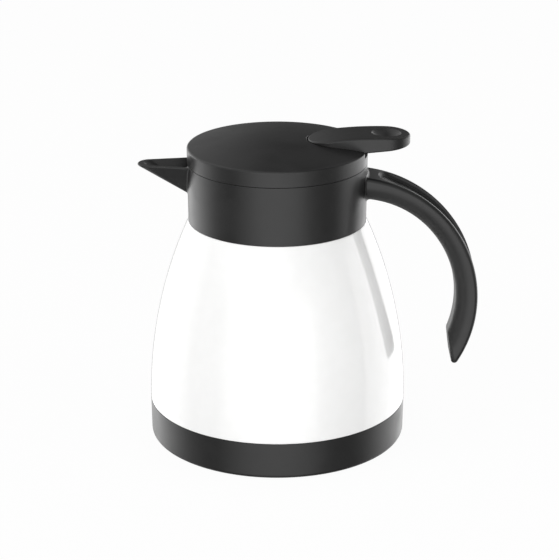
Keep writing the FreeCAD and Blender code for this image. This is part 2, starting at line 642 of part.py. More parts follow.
def handle():
    root_x = collar_radius(HANDLE_SCREW_Z) - COLLAR_WALL - OVERRUN
    run = root_x - HANDLE_CENTRE_X

    outer_root = math.degrees(math.acos(run / HANDLE_OUTER_RADIUS))
    swell_x, swell_z = polar(HANDLE_INNER_RADIUS - HANDLE_SWELL_RADIUS, HANDLE_SWELL_ANGLE)
    swell_root = math.degrees(math.acos((root_x - swell_x) / HANDLE_SWELL_RADIUS))

    def swell(angle):
        turn = math.radians(angle)
        return swell_x + HANDLE_SWELL_RADIUS * math.cos(turn), swell_z + HANDLE_SWELL_RADIUS * math.sin(turn)

    face = outline(
        polar(HANDLE_OUTER_RADIUS, outer_root),
        (polar(HANDLE_OUTER_RADIUS, (outer_root + HANDLE_TIP_ANGLE) / 2),
         polar(HANDLE_OUTER_RADIUS, HANDLE_TIP_ANGLE)),
        polar(HANDLE_INNER_RADIUS, HANDLE_CUT_ANGLE),
        (polar(HANDLE_INNER_RADIUS, (HANDLE_SWELL_ANGLE + HANDLE_CUT_ANGLE) / 2),
         polar(HANDLE_INNER_RADIUS, HANDLE_SWELL_ANGLE)),
        (swell((HANDLE_SWELL_ANGLE + swell_root) / 2), swell(swell_root)))
    grip = slab(face, HANDLE_HALF_WIDTH)

    def radius_at(p):
        return math.hypot(p.x - HANDLE_CENTRE_X, p.z - HANDLE_CENTRE_Z)

    def at_side(p):
        return abs(abs(p.y) - HANDLE_HALF_WIDTH) < FIT_GAP

    tip = polar(HANDLE_OUTER_RADIUS, HANDLE_TIP_ANGLE)
    nose = edges_where(grip, lambda p: math.hypot(p.x - tip[0], p.z - tip[1]) < FIT_GAP)
    grip = grip.makeFillet(HANDLE_TIP_ROUND, nose)
    palm = edges_where(grip, lambda p: at_side(p) and radius_at(p) < HANDLE_INNER_RADIUS + FIT_GAP)
    grip = grip.makeFillet(HANDLE_GRIP_ROUND, palm)
    back = edges_where(grip, lambda p: at_side(p) and abs(radius_at(p) - HANDLE_OUTER_RADIUS) < FIT_GAP)
    grip = grip.makeFillet(HANDLE_BACK_ROUND, back)

    joined = fused(collar_solid(COLLAR_FOOT_Z, COLLAR_TOP_Z, 0), grip)

    def at_root(p):
        off = math.hypot(p.x, p.y) - collar_radius(p.z)
        return (abs(off) < FIT_GAP / 2 and COLLAR_FOOT_Z + FIT_GAP < p.z < COLLAR_TOP_Z - FIT_GAP
                and p.x > 0 and abs(p.y) < HANDLE_HALF_WIDTH + FIT_GAP)

    joined = joined.makeFillet(HANDLE_ROOT_ROUND, edges_where(joined, at_root))
    seat = collar_solid(COLLAR_FOOT_Z - OVERRUN, COLLAR_TOP_Z + OVERRUN, -FIT_GAP)
    body = joined.cut([seat, handle_channel()])

    def at_brim(p):
        return (abs(radius_at(p) - HANDLE_OUTER_RADIUS) < FIT_GAP / 2
                and abs(p.y) < CHANNEL_HALF_WIDTH + FIT_GAP)

    body = body.makeFillet(CHANNEL_EDGE_ROUND, edges_where(body, at_brim))
    for y in handle_screw_rows():
        start = handle_screw_seat(y)
        body = body.cut(Part.makeCylinder(SCREW_RADIUS + RUNNING_GAP, HANDLE_SCREW_LENGTH + FIT_GAP,
                                          Vector(start, y, HANDLE_SCREW_Z), ALONG_X))
    return body


def stopper_seal():
    inner = STOPPER_FOOT_RADIUS + SEAL_END_GAP
    return ring(inner, inner + SEAL_WALL, SEAL_Z, SEAL_Z + SEAL_HEIGHT)


def dome_arc(from_radius, to_radius, inset):
    """Part of the domed lid top, moved down into the cover by an inset."""
    sphere = (LID_RADIUS ** 2 + LID_CROWN ** 2) / (2 * LID_CROWN)
    centre = LID_RIM_Z + LID_CROWN - sphere

    def spot(radius):
        return radius, centre + math.sqrt((sphere - inset) ** 2 - radius ** 2)

    return spot(from_radius), spot((from_radius + to_radius) / 2), spot(to_radius)


def lid_envelope(inset, foot_z):
    """Solid lid outline with domed top, moved inwards by an inset."""
    edge = LID_RADIUS - inset
    top, through, rim = dome_arc(0, edge, inset)
    return turned((0, foot_z), (collar_radius(foot_z) - inset, foot_z), rim, (through, top))


def lever_plan(gap, z_from, z_to, end_x):
    """Upright solid with the plan of the lever, grown by a gap: round nose, straight sides, square end."""
    half = LEVER_HALF_WIDTH + gap
    nose = LEVER_NOSE_X + LEVER_HALF_WIDTH
    return fused(rod(half, z_from, z_to, nose), block(nose, end_x, -half, half, z_from, z_to))


def post_spots():
    spots = []
    for step in range(POST_COUNT):
        angle = math.radians(POST_PHASE + step * FULL_TURN / POST_COUNT)
        spots.append((POST_CIRCLE * math.cos(angle), POST_CIRCLE * math.sin(angle)))
    return spots


def across_pin(radius, half_length):
    return Part.makeCylinder(radius, 2 * half_length, Vector(PIN_X, -half_length, PIN_Z), ALONG_Y)


def lid_cover():
    solid = lid_envelope(0, COVER_FOOT_Z)

    def edge_at(z):
        return edges_where(solid, lambda p: abs(p.z - z) < FIT_GAP and math.hypot(p.x, p.y) > POST_CIRCLE)

    solid = solid.makeFillet(LID_EDGE_ROUND, edge_at(LID_RIM_Z))
    solid = solid.makeFillet(COLLAR_EDGE_ROUND, edge_at(COVER_FOOT_Z))
    top = LEVER_TOP_Z + OVERRUN
    past = LID_RADIUS + OVERRUN
    well = lever_plan(POCKET_GAP + POCKET_WALL, WELL_FLOOR_Z, top, past)
    bearing = block(PIN_X - HUB_RADIUS, PIN_X + HUB_RADIUS, -PIN_HALF_LENGTH, PIN_HALF_LENGTH,
                    PIN_Z - HUB_RADIUS, POCKET_FLOOR_Z)
    posts = [rod(POST_RADIUS, DECK_Z, LID_RIM_Z, x, y) for x, y in post_spots()]
    hollow = lid_envelope(COVER_WALL, COVER_FOOT_Z - OVERRUN).cut([well, bearing] + posts)
    pocket = lever_plan(POCKET_GAP, POCKET_FLOOR_Z, top, past)
    half = WEB_HALF_WIDTH + SLOT_GAP
    slot = block(LEVER_NOSE_X - POCKET_WALL, PIN_X + HUB_RADIUS + SLOT_GAP, -half, half,
                 PIN_Z - HUB_RADIUS - OVERRUN, POCKET_FLOOR_Z)
    pilots = [rod(SCREW_RADIUS + RUNNING_GAP, DECK_Z - OVERRUN, DECK_Z + PILOT_DEPTH, x, y)
              for x, y in post_spots()]
    bore = across_pin(PIN_RADIUS, PIN_HALF_LENGTH)
    cover = fused(solid, *posts).cut([hollow, pocket, slot, bore] + pilots)

    def at_pocket(p):
        before = min(p.x - LEVER_NOSE_X - LEVER_HALF_WIDTH, 0)
        off = math.hypot(before, p.y) - LEVER_HALF_WIDTH - POCKET_GAP
        return abs(off) < FIT_GAP and p.z > LID_RIM_Z - LID_EDGE_ROUND - FIT_GAP

    return cover.makeFillet(POCKET_EDGE_ROUND, edges_where(cover, at_pocket))


def stopper_body():
    deck_edge = collar_radius(DECK_UNDER_Z) - COLLAR_WALL - DECK_PLAY
    chamber_top = STOPPER_RADIUS - STOPPER_WALL
    body = turned(
        (CHAMBER_RADIUS, STOPPER_FOOT_Z), (STOPPER_FOOT_RADIUS, STOPPER_FOOT_Z),
        (STOPPER_FOOT_RADIUS, STOPPER_STEP_Z), (STOPPER_RADIUS, STOPPER_STEP_Z),
        (STOPPER_RADIUS, DECK_UNDER_Z), (deck_edge, DECK_UNDER_Z), (deck_edge, DECK_Z),
        (BUSH_RADIUS + FIT_GAP, DECK_Z), (BUSH_RADIUS + FIT_GAP, DECK_UNDER_Z), (chamber_top, DECK_UNDER_Z),
        (chamber_top, STOPPER_STEP_Z + STOPPER_WALL), (CHAMBER_RADIUS, STOPPER_STEP_Z + STOPPER_WALL))
    lugs = helical_ribs(STOPPER_RADIUS - THREAD_ROOT, STOPPER_RADIUS + THREAD_DEPTH, LUG_Z, LUG_SPAN,
                        LUG_LAG)
    body = fused(body, *lugs)
    window = ring(CHAMBER_RADIUS, STOPPER_RADIUS + THREAD_DEPTH, PORT_TOP_Z - PORT_HEIGHT, PORT_TOP_Z)
    half = STOPPER_RADIUS * math.sin(math.radians(PORT_SPAN / 2))
    for step in range(PORT_COUNT):
        sector = block(0, 2 * STOPPER_RADIUS, -half, half, PORT_TOP_Z - PORT_HEIGHT, PORT_TOP_Z)
        body = body.cut(window.common(around(sector, step * FULL_TURN / PORT_COUNT)))
    holes = [rod(SCREW_RADIUS + SCREW_CLEARANCE, DECK_UNDER_Z, DECK_Z, x, y) for x, y in post_spots()]
    return body.cut(holes)


def valve_seat():
    flange = STOPPER_FOOT_RADIUS + SEAL_WALL
    low = STOPPER_FOOT_Z - SEAT_PLATE
    return turned(
        (VALVE_PORT_RADIUS, low), (flange, low), (flange, STOPPER_FOOT_Z),
        (CHAMBER_RADIUS - FIT_GAP, STOPPER_FOOT_Z), (CHAMBER_RADIUS - FIT_GAP, SEAT_FACE_Z),
        (VALVE_PORT_RADIUS, SEAT_FACE_Z))


def stem_bush():
    bore = STEM_RADIUS + RUNNING_GAP
    pocket = bore + 2 * O_RING_SECTION
    shelf = BUSH_FOOT_Z + O_RING_POCKET
    flange = BUSH_RADIUS + BUSH_FLANGE_WIDTH
    return turned(
        (pocket, BUSH_FOOT_Z), (BUSH_RADIUS, BUSH_FOOT_Z), (BUSH_RADIUS, BUSH_FLANGE_Z),
        (flange, BUSH_FLANGE_Z), (flange, DECK_UNDER_Z), (BUSH_RADIUS, DECK_UNDER_Z), (BUSH_RADIUS, DECK_Z),
        (bore, DECK_Z), (bore, shelf), (pocket, shelf))


def stem_o_ring():
    section = O_RING_SECTION - RUNNING_GAP / 2
    middle = STEM_RADIUS + RUNNING_GAP + O_RING_SECTION
    height = BUSH_FOOT_Z + O_RING_POCKET - O_RING_SECTION
    return Part.makeTorus(middle, section, Vector(0, 0, height), AXIS)


def lever_pin():
    return across_pin(PIN_RADIUS - RUNNING_GAP, PIN_HALF_LENGTH - FIT_GAP)


def valve_spring():
    low = VALVE_TOP_Z + SPRING_WIRE
    high = BUSH_FLANGE_Z - SPRING_WIRE
    helix = Part.makeHelix((high - low) / SPRING_TURNS, high - low, SPRING_RADIUS)
    section = Part.Wire(Part.makeCircle(SPRING_WIRE, Vector(SPRING_RADIUS, 0, 0), ALONG_Y))
    coil = Part.Wire(helix).makePipeShell([section], True, True)
    coil.translate(AXIS * low)
    return coil


def lid_screws():
    made = []
    for x, y in post_spots():
        one = screw(LID_SCREW_LENGTH)
        one.translate(Vector(x, y, DECK_UNDER_Z))
        made.append(one)
    return Part.makeCompound(made)


def lever_top(x):
    return LEVER_TOP_Z - LEVER_TOP_RADIUS + math.sqrt(LEVER_TOP_RADIUS ** 2 - (x - LEVER_CREST_X) ** 2)


def lever_under(x):
    """Height of the sloping underside of the overhanging part."""
    share = (x - LEVER_STEP_X) / (LEVER_END_X - LEVER_STEP_X)
    return LEVER_ROOT_Z + share * (LEVER_TIP_Z - LEVER_ROOT_Z)


def thumb_lever():
    toe = POCKET_FLOOR_Z + LEVER_TOE_RISE
    heel = POCKET_FLOOR_Z + LEVER_HEEL_RISE
    mid_x = (LEVER_NOSE_X + LEVER_END_X) / 2
    face = outline(
        (LEVER_NOSE_X, toe), (PIN_X, toe), (PIN_X, heel), (LEVER_STEP_X, heel), (LEVER_STEP_X, LEVER_ROOT_Z),
        (LEVER_END_X, LEVER_TIP_Z), (LEVER_END_X, lever_top(LEVER_END_X)),
        ((mid_x, lever_top(mid_x)), (LEVER_NOSE_X, lever_top(LEVER_NOSE_X))))
    end = LEVER_END_X - LEVER_HALF_WIDTH
    plan = fused(lever_plan(0, toe, LEVER_TOP_Z, end), rod(LEVER_HALF_WIDTH, toe, LEVER_TOP_Z, end))
    plate = slab(face, LEVER_HALF_WIDTH).common(plan)
    brow = edges_where(plate, lambda p: abs(p.z - lever_top(p.x)) < FIT_GAP)
    plate = plate.makeFillet(LEVER_TOP_ROUND, brow)

    def under_edge(p):
        outside = p.x > LEVER_STEP_X + FIT_GAP or abs(abs(p.y) - LEVER_HALF_WIDTH) < FIT_GAP
        return outside and p.x > LEVER_STEP_X - FIT_GAP and abs(p.z - lever_under(p.x)) < FIT_GAP

    plate = plate.makeFillet(LEVER_TOP_ROUND, edges_where(plate, under_edge))
    ball = (DIMPLE_PAD_RADIUS ** 2 + DIMPLE_PAD_DEPTH ** 2) / (2 * DIMPLE_PAD_DEPTH)
    dimple_x = LEVER_END_X - DIMPLE_PAD_INSET
    dimple_z = lever_top(dimple_x) - DIMPLE_PAD_DEPTH + ball
    plate = plate.cut(Part.makeSphere(ball, Vector(dimple_x, 0, dimple_z)))

    gusset = slab(outline(
        (PIN_X, toe + WEB_SINK), (PIN_X, PIN_Z - HUB_RADIUS),
        (TONGUE_BEND_X, TONGUE_Z), (FORK_DEPTH_X, TONGUE_Z), (FORK_DEPTH_X, TONGUE_TOP_Z),
        (TONGUE_BEND_X, TONGUE_TOP_Z), (WEB_FRONT_X, toe), (WEB_FRONT_X, toe + WEB_SINK)), WEB_HALF_WIDTH)
    hub = across_pin(HUB_RADIUS, WEB_HALF_WIDTH)
    fork = block(TONGUE_END_X, FORK_DEPTH_X + HUB_RADIUS, -TONGUE_HALF_WIDTH, TONGUE_HALF_WIDTH,
                 TONGUE_Z, TONGUE_TOP_Z)
    nub = Part.makeCylinder(NUB_RADIUS, 2 * TONGUE_HALF_WIDTH,
                            Vector(0, -TONGUE_HALF_WIDTH, TONGUE_TOP_Z), ALONG_Y)
    gap = STEM_RADIUS + FORK_GAP
    low = TONGUE_Z - OVERRUN
    high = TONGUE_TOP_Z + OVERRUN
    mouth = fused(rod(gap, low, high, FORK_END_X),
                  block(TONGUE_END_X - OVERRUN, FORK_END_X, -gap, gap, low, high))
    lever = fused(plate, gusset, hub, fork, nub)
    return lever.cut([mouth, across_pin(PIN_RADIUS, WEB_HALF_WIDTH + OVERRUN)])


def valve_stem():
    plate = VALVE_RADIUS - VALVE_PLATE_INSET
    low = VALVE_Z - RETAINER_HEIGHT / 2
    return turned(
        (0, low), (SPIGOT_RADIUS, low), (SPIGOT_RADIUS, VALVE_PLATE_Z), (plate, VALVE_PLATE_Z),
        (plate, VALVE_TOP_Z), (STEM_RADIUS, VALVE_TOP_Z), (STEM_RADIUS, STEM_TOP_Z), (0, STEM_TOP_Z))


def valve_gasket():
    return ring(SPIGOT_RADIUS + FIT_GAP, VALVE_RADIUS, VALVE_Z, VALVE_PLATE_Z)


def gasket_retainer():
    low = VALVE_Z - RETAINER_HEIGHT
    shelf = VALVE_Z - RETAINER_HEIGHT / 2
    return turned(
        (0, low), (RETAINER_RADIUS, low), (RETAINER_RADIUS, VALVE_Z), (SPIGOT_RADIUS + FIT_GAP, VALVE_Z),
        (SPIGOT_RADIUS + FIT_GAP, shelf), (0, shelf))


def stem_head():
    bore = STEM_RADIUS + RUNNING_GAP
    top = HEAD_Z + HEAD_HEIGHT
    return turned(
        (bore, HEAD_Z), (HEAD_RADIUS, HEAD_Z), (HEAD_RADIUS, top), (0, top), (0, STEM_TOP_Z),
        (bore, STEM_TOP_Z))


PIECES = (
    outer_shell, shell_neck, inner_liner, liner_neck, liner_floor, radiation_foil, shell_bottom,
    vacuum_bead, getter, base_cup, base_pad,
    collar, neck_sleeve, neck_gasket, handle, handle_screws, stopper_seal, lid_cover, stopper_body,
    valve_seat, stem_bush, stem_o_ring, lever_pin, valve_spring, lid_screws, thumb_lever, valve_stem,
    valve_gasket, gasket_retainer, stem_head)

os.makedirs("parts", exist_ok=True)
for piece in PIECES:
    shape = piece()
    if not shape.isValid():
        raise ValueError("invalid shape: " + piece.__name__)
    shape.exportStep("parts/" + piece.__name__ + ".step")
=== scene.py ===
import math

import bmesh
import bpy
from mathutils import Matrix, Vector


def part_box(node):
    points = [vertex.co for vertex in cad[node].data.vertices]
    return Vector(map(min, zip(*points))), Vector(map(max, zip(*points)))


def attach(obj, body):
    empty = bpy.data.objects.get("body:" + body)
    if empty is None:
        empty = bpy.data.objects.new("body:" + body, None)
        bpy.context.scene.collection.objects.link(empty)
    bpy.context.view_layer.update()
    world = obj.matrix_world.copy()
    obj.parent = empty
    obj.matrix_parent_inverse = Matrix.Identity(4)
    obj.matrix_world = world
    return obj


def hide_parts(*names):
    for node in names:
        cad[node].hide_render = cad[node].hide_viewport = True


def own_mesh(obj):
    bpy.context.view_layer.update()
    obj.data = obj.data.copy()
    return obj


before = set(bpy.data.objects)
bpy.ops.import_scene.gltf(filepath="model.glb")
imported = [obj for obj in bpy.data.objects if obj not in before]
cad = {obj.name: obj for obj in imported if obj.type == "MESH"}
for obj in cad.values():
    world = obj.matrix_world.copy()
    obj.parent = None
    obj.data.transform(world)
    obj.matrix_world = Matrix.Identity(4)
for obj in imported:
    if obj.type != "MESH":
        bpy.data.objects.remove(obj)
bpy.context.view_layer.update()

# Insulated teapot: an enamelled steel pot with a black moulded base, collar and handle, closed by a
# screw-in lid with a thumb lever. Lengths are in metres. The spout points to -X, the handle to +X.

# Pot wall
WALL_BULGE_RADIUS = 0.2327      # bulge of the wall in side view
WALL_FOOT_Z = 0.0192            # height at which the wall stands upright
STEEL_WALL = 0.0006
SEAM_GAP = 0.0002               # open joint line over the base
EDGE_ROLL = 0.00025             # rounding of cut steel edges
WALL_POINTS = 72
FINE_STEPS = 288                # facets round the pot
SMALL_STEPS = 144               # facets round the small rings

# Foot pad
PAD_GROOVE_PITCH = 0.0042
PAD_GROOVE_WIDTH = 0.0016
PAD_GROOVE_DEPTH = 0.0006
PAD_FIRST_GROOVE = 0.0115
PAD_EDGE_ROUND = 0.0003

# Seals
SEAL_LIP_DEPTH = 0.00045
SEAL_LIPS = 3
SEAL_LIP_SHARES = (-0.42, -0.08, 0.08, 0.28)    # corners of a lip from its middle, in pitches
BEAD_RISE = 0.00022
BEAD_TOP_SHARES = (0.35, 0.65)  # flat top of a washer's bead, as shares of its width
RING_STEPS = 28                 # points round the section of the round ring
PARTING_SHARE = 0.97            # radius of that section at the parting line of its mould

# Vacuum seal
SOLDER_STEPS = 16
SOLDER_POWER = 0.8              # fullness of the solder's dome
GETTER_DISH_SHARE = 0.2         # depth of the tablet's dish and chamfer, as a share of its height
GETTER_RIM_SHARES = (0.55, 0.7, 0.9)    # dish, inner and outer edge of the rim, as shares of its radius
TINY_STEPS = 64                 # facets round solder and getter

# Screws
SCREW_HEAD_RADIUS = 0.0022
SCREW_HEAD_HEIGHT = 0.0016
SCREW_CORE_RADIUS = 0.00098
SCREW_THREAD_RADIUS = 0.00124
SCREW_THREAD_PITCH = 0.0011
SCREW_RECESS_WIDTH = 0.0007
SCREW_RECESS_LENGTH = 0.0026
SCREW_RECESS_DEPTH = 0.0009
SCREW_HEAD_STEPS = 40
SCREW_STEPS = 24                # facets round shank and thread, and rings of the head
SCREW_RIDGE_STEPS = 4
LID_SCREWS = 3
LID_SCREW_START = 60            # degrees from the handle to the first one

# Valve spring
SPRING_TURNS = 7.0
SPRING_WIRE_RADIUS = 0.00045
SPRING_FLAT_SHARE = 0.11        # closed coils at each end, as a share of the wire
SPRING_STEPS = 420
SPRING_WIRE_STEPS = 14

SHARP_ANGLE = math.radians(32)
CORNER_STEPS = 4                # facets in a rounded corner
WELD = 1e-6                     # points closer than this become one
SEAM_WELD = 1e-7                # the same for a finished mesh

# Moulded plastic
SMUDGE_DULL = 0.035             # roughness that a smudge adds
RUB_POLISH = 0.10               # how far an edge takes the lighter edge colour, which is painted edge highlight as well as rub wear
SHEEN_AND_RUB_TINT = 0.6                  # how far a rubbed edge takes the worn colour


# Node trees

def put(tree, kind, links=None, **settings):
    """Adds a node. Links are values or sockets for its inputs, by name or number."""
    node = tree.nodes.new(kind)
    for name, value in settings.items():
        setattr(node, name, value)
    for name, value in (links or {}).items():
        if isinstance(value, bpy.types.NodeSocket):
            tree.links.new(value, node.inputs[name])
        else:
            node.inputs[name].default_value = value
    return node


def calc(tree, operation, first, second=0.0, clamp=False):
    return put(tree, "ShaderNodeMath", {0: first, 1: second}, operation=operation, use_clamp=clamp).outputs[0]


def ramp(tree, value, low, high, to_low=0.0, to_high=1.0):
    """Smooth step of a value from one range to another."""
    links = {"Value": value, "From Min": low, "From Max": high, "To Min": to_low, "To Max": to_high}
    return put(tree, "ShaderNodeMapRange", links, interpolation_type="SMOOTHSTEP").outputs["Result"]


def shade(tree, amount, first, second):
    """Colour between two colours."""
    node = put(tree, "ShaderNodeMix", data_type="RGBA")
    for socket, value in ((node.inputs[0], amount), (node.inputs[6], first), (node.inputs[7], second)):
        if isinstance(value, bpy.types.NodeSocket):
            tree.links.new(value, socket)
        else:
            socket.default_value = value
    return node.outputs[2]


def grey(level):
    return (level, level, level, 1.0)


SOCKETS = {"value": "NodeSocketFloat", "shape": "NodeSocketGeometry", "count": "NodeSocketInt",
           "finish": "NodeSocketMaterial"}


def group(name, kind, inputs, outputs):
    """Empty node group with named sockets. Gives the tree, its inputs and its output node."""
    tree = bpy.data.node_groups.new(name, kind)
    for label, (form, start) in inputs.items():
        socket = tree.interface.new_socket(label, in_out="INPUT", socket_type=SOCKETS[form])
        if start is not None:
            socket.default_value = start
    for label, form in outputs.items():
        tree.interface.new_socket(label, in_out="OUTPUT", socket_type=SOCKETS[form])
    return tree, tree.nodes.new("NodeGroupInput").outputs, tree.nodes.new("NodeGroupOutput")


def hand_out(tree, result, **values):
    for label, socket in values.items():
        tree.links.new(socket, result.inputs[label.replace("_", " ").title()])


def object_place(tree):
    return put(tree, "ShaderNodeTexCoord").outputs["Object"]


def noise(tree, place, scale, detail=2.0, roughness=0.5, **settings):
    links = {"Vector": place, "Scale": scale, "Detail": detail, "Roughness": roughness}
    return put(tree, "ShaderNodeTexNoise", links, **settings).outputs[0]


def moulded_grain_group():
    """Spark-eroded mould texture: fine grain height and a slow mottle of the surface."""
    tree, given, result = group("moulded_grain", "ShaderNodeTree",
                                {"Grain Size": ("value", 0.0003), "Mottle Size": ("value", 0.02)},
                                {"Height": "value", "Mottle": "value"})
    place = object_place(tree)
    grain = noise(tree, place, calc(tree, "DIVIDE", 1.0, given["Grain Size"]), 3.0, 0.6)
    pits = put(tree, "ShaderNodeTexVoronoi",
               {"Vector": place, "Scale": calc(tree, "DIVIDE", 0.6, given["Grain Size"])}).outputs["Distance"]
    mottle = noise(tree, place, calc(tree, "DIVIDE", 1.0, given["Mottle Size"]), 4.0, 0.55)
    hand_out(tree, result, height=calc(tree, "ADD", grain, calc(tree, "MULTIPLY", pits, 0.5)),
             mottle=ramp(tree, mottle, 0.3, 0.7))
    return tree


def edge_sheen_and_rub_group():
    """Mask of the outer edges, where hands and cloths polish a piece and where the edges catch the light,
    broken up by noise; a lighter colour laid on it is painted edge highlight as well as rub wear.
    """
    tree, given, result = group("edge_sheen_and_rub", "ShaderNodeTree",
                                {"Width": ("value", 0.0006), "Breakup": ("value", 0.004)}, {"Mask": "value"})
    soft = put(tree, "ShaderNodeBevel", {"Radius": given["Width"]}, samples=6).outputs[0]
    true = put(tree, "ShaderNodeNewGeometry").outputs["Normal"]
    turn = put(tree, "ShaderNodeVectorMath", {0: soft, 1: true}, operation="DOT_PRODUCT").outputs["Value"]
    edge = ramp(tree, turn, 0.985, 0.80)
    patch = noise(tree, object_place(tree), calc(tree, "DIVIDE", 1.0, given["Breakup"]), 3.0, 0.6)
    hand_out(tree, result, mask=calc(tree, "MULTIPLY", edge, ramp(tree, patch, 0.3, 0.62)))
    return tree


def handling_group():
    """Faint smudges that change the gloss."""
    tree, given, result = group("handling_marks", "ShaderNodeTree",
                                {"Smudge Size": ("value", 0.012)}, {"Smudge": "value"})
    blot = noise(tree, object_place(tree), calc(tree, "DIVIDE", 1.0, given["Smudge Size"]), 3.0, 0.6)
    hand_out(tree, result, smudge=ramp(tree, blot, 0.42, 0.75))
    return tree


def turned_lines_group():
    """Fine lines round the upright axis, as left by spinning and turning."""
    tree, given, result = group("turned_lines", "ShaderNodeTree",
                                {"Line Pitch": ("value", 0.0003)}, {"Line": "value", "Band": "value"})
    part = put(tree, "ShaderNodeSeparateXYZ", {0: object_place(tree)}).outputs
    radius = calc(tree, "SQRT", calc(tree, "ADD", calc(tree, "MULTIPLY", part["X"], part["X"]),
                                     calc(tree, "MULTIPLY", part["Y"], part["Y"])))
    along = calc(tree, "ADD", radius, calc(tree, "MULTIPLY", part["Z"], 1.07))
    steps = calc(tree, "DIVIDE", along, given["Line Pitch"])
    line = put(tree, "ShaderNodeTexNoise", {"W": steps, "Scale": 1.0, "Detail": 3.0},
               noise_dimensions="1D").outputs[0]
    band = put(tree, "ShaderNodeTexNoise", {"W": steps, "Scale": 0.07, "Detail": 2.0},
               noise_dimensions="1D").outputs[0]
    hand_out(tree, result, line=line, band=ramp(tree, band, 0.3, 0.7))
    return tree


MOULDED_GRAIN = moulded_grain_group()
EDGE_SHEEN_AND_RUB = edge_sheen_and_rub_group()
HANDLING = handling_group()
TURNED_LINES = turned_lines_group()


def use(tree, shared, **values):
    """Places a shared group in a material with its own values and gives its outputs."""
    node = put(tree, "ShaderNodeGroup", node_tree=shared)
    for label, value in values.items():
        node.inputs[label.replace("_", " ").title()].default_value = value
    return node.outputs


def finish(name, **plain):
    """New material. Gives the material, its tree and its shader with the plain values set."""
    material = bpy.data.materials.new(name)
    material.use_nodes = True
    tree = material.node_tree
    shader = tree.nodes["Principled BSDF"]
    for label, value in plain.items():
        shader.inputs[label.replace("_", " ")].default_value = value
    return material, tree, shader


def feed(tree, shader, **sockets):
    for label, socket in sockets.items():
        tree.links.new(socket, shader.inputs[label.replace("_", " ")])


def relief(tree, height, depth, strength=1.0):
    links = {"Height": height, "Distance": depth, "Strength": strength}
    return put(tree, "ShaderNodeBump", links).outputs[0]


def moulded_plastic(name, dark, light, edge_sheen_and_wear, gloss, grain_size, grain_depth, specular):
    """Moulded plastic: eroded grain, slow mottle, smudged gloss and rubbed edges, whose lighter colour is
    painted edge highlight as well as wear.
    """
    material, tree, shader = finish(name, Specular_IOR_Level=specular)
    grain = use(tree, MOULDED_GRAIN, grain_size=grain_size, mottle_size=0.018)
    sheen_and_rub = use(tree, EDGE_SHEEN_AND_RUB, width=0.0007, breakup=0.006)["Mask"]
    marks = use(tree, HANDLING, smudge_size=0.016)
    body = shade(tree, grain["Mottle"], dark, light)
    gloss_low, gloss_high = gloss
    base = ramp(tree, grain["Mottle"], 0.0, 1.0, gloss_low, gloss_high)
    marked = calc(tree, "ADD", base, calc(tree, "MULTIPLY", marks["Smudge"], SMUDGE_DULL))
    polished = calc(tree, "SUBTRACT", marked, calc(tree, "MULTIPLY", sheen_and_rub, RUB_POLISH), clamp=True)
    # Edges take a lighter colour: painted edge highlight as well as rub wear.
    feed(tree, shader, Base_Color=shade(tree, calc(tree, "MULTIPLY", sheen_and_rub, SHEEN_AND_RUB_TINT), body, edge_sheen_and_wear),
         Roughness=polished, Normal=relief(tree, grain["Height"], grain_depth, 0.6))
    return material


def enamel_white():
    """Stoved white enamel under a clear gloss: faint flow of the paint and a slight unevenness of colour."""
    material, tree, shader = finish("enamel_white", Coat_Weight=1.0, Coat_Roughness=0.02, Coat_IOR=1.75,
                                    Specular_IOR_Level=0.3)
    marks = use(tree, HANDLING, smudge_size=0.03)
    place = object_place(tree)
    flow = noise(tree, place, 160.0, 2.0, 0.4)
    peel = noise(tree, place, 900.0, 2.0, 0.5)
    tone = shade(tree, ramp(tree, flow, 0.35, 0.65), (0.926, 0.926, 0.92, 1.0), (0.936, 0.936, 0.931, 1.0))
    gloss = ramp(tree, marks["Smudge"], 0.0, 1.0, 0.22, 0.25)
    height = calc(tree, "ADD", flow, calc(tree, "MULTIPLY", peel, 0.25))
    feed(tree, shader, Base_Color=tone, Roughness=gloss, Normal=relief(tree, height, 0.000004, 0.4))
    return material


def spun_steel():
    """Bare drawn steel with turning lines and faint heat bands."""
    material, tree, shader = finish("spun_steel", Metallic=1.0)
    lines = use(tree, TURNED_LINES, line_pitch=0.00022)
    marks = use(tree, HANDLING, smudge_size=0.02)
    tone = shade(tree, lines["Band"], (0.62, 0.62, 0.61, 1.0), (0.74, 0.74, 0.73, 1.0))
    gloss = calc(tree, "ADD", ramp(tree, lines["Line"], 0.3, 0.7, 0.24, 0.36),
                 calc(tree, "MULTIPLY", marks["Smudge"], 0.08))
    feed(tree, shader, Base_Color=tone, Roughness=gloss, Normal=relief(tree, lines["Line"], 0.000006, 0.5))
    return material


def reflector_foil():
    """Thin bright foil, creased where it was wrapped round the liner, with painted shade darkening its
    creases.
    """
    material, tree, shader = finish("reflector_foil", Metallic=1.0)
    place = object_place(tree)
    crease = put(tree, "ShaderNodeTexVoronoi", {"Vector": place, "Scale": 140.0},
                 feature="DISTANCE_TO_EDGE").outputs["Distance"]
    fold = ramp(tree, crease, 0.0, 0.12)
    # Darker along the creases: painted crease shade.
    tone = shade(tree, fold, (0.70, 0.69, 0.67, 1.0), (0.83, 0.82, 0.80, 1.0))
    gloss = ramp(tree, noise(tree, place, 300.0), 0.3, 0.7, 0.14, 0.28)
    feed(tree, shader, Base_Color=tone, Roughness=gloss, Normal=relief(tree, fold, 0.00006, 0.7))
    return material


def braze_metal():
    """Brazing alloy that flowed and tarnished."""
    material, tree, shader = finish("braze_metal", Metallic=1.0)
    place = object_place(tree)
    blot = noise(tree, place, 700.0, 4.0, 0.6)
    tone = shade(tree, ramp(tree, blot, 0.35, 0.7), (0.72, 0.54, 0.27, 1.0), (0.42, 0.30, 0.17, 1.0))
    feed(tree, shader, Base_Color=tone, Roughness=ramp(tree, blot, 0.3, 0.7, 0.28, 0.5),
         Normal=relief(tree, blot, 0.00008, 0.5))
    return material


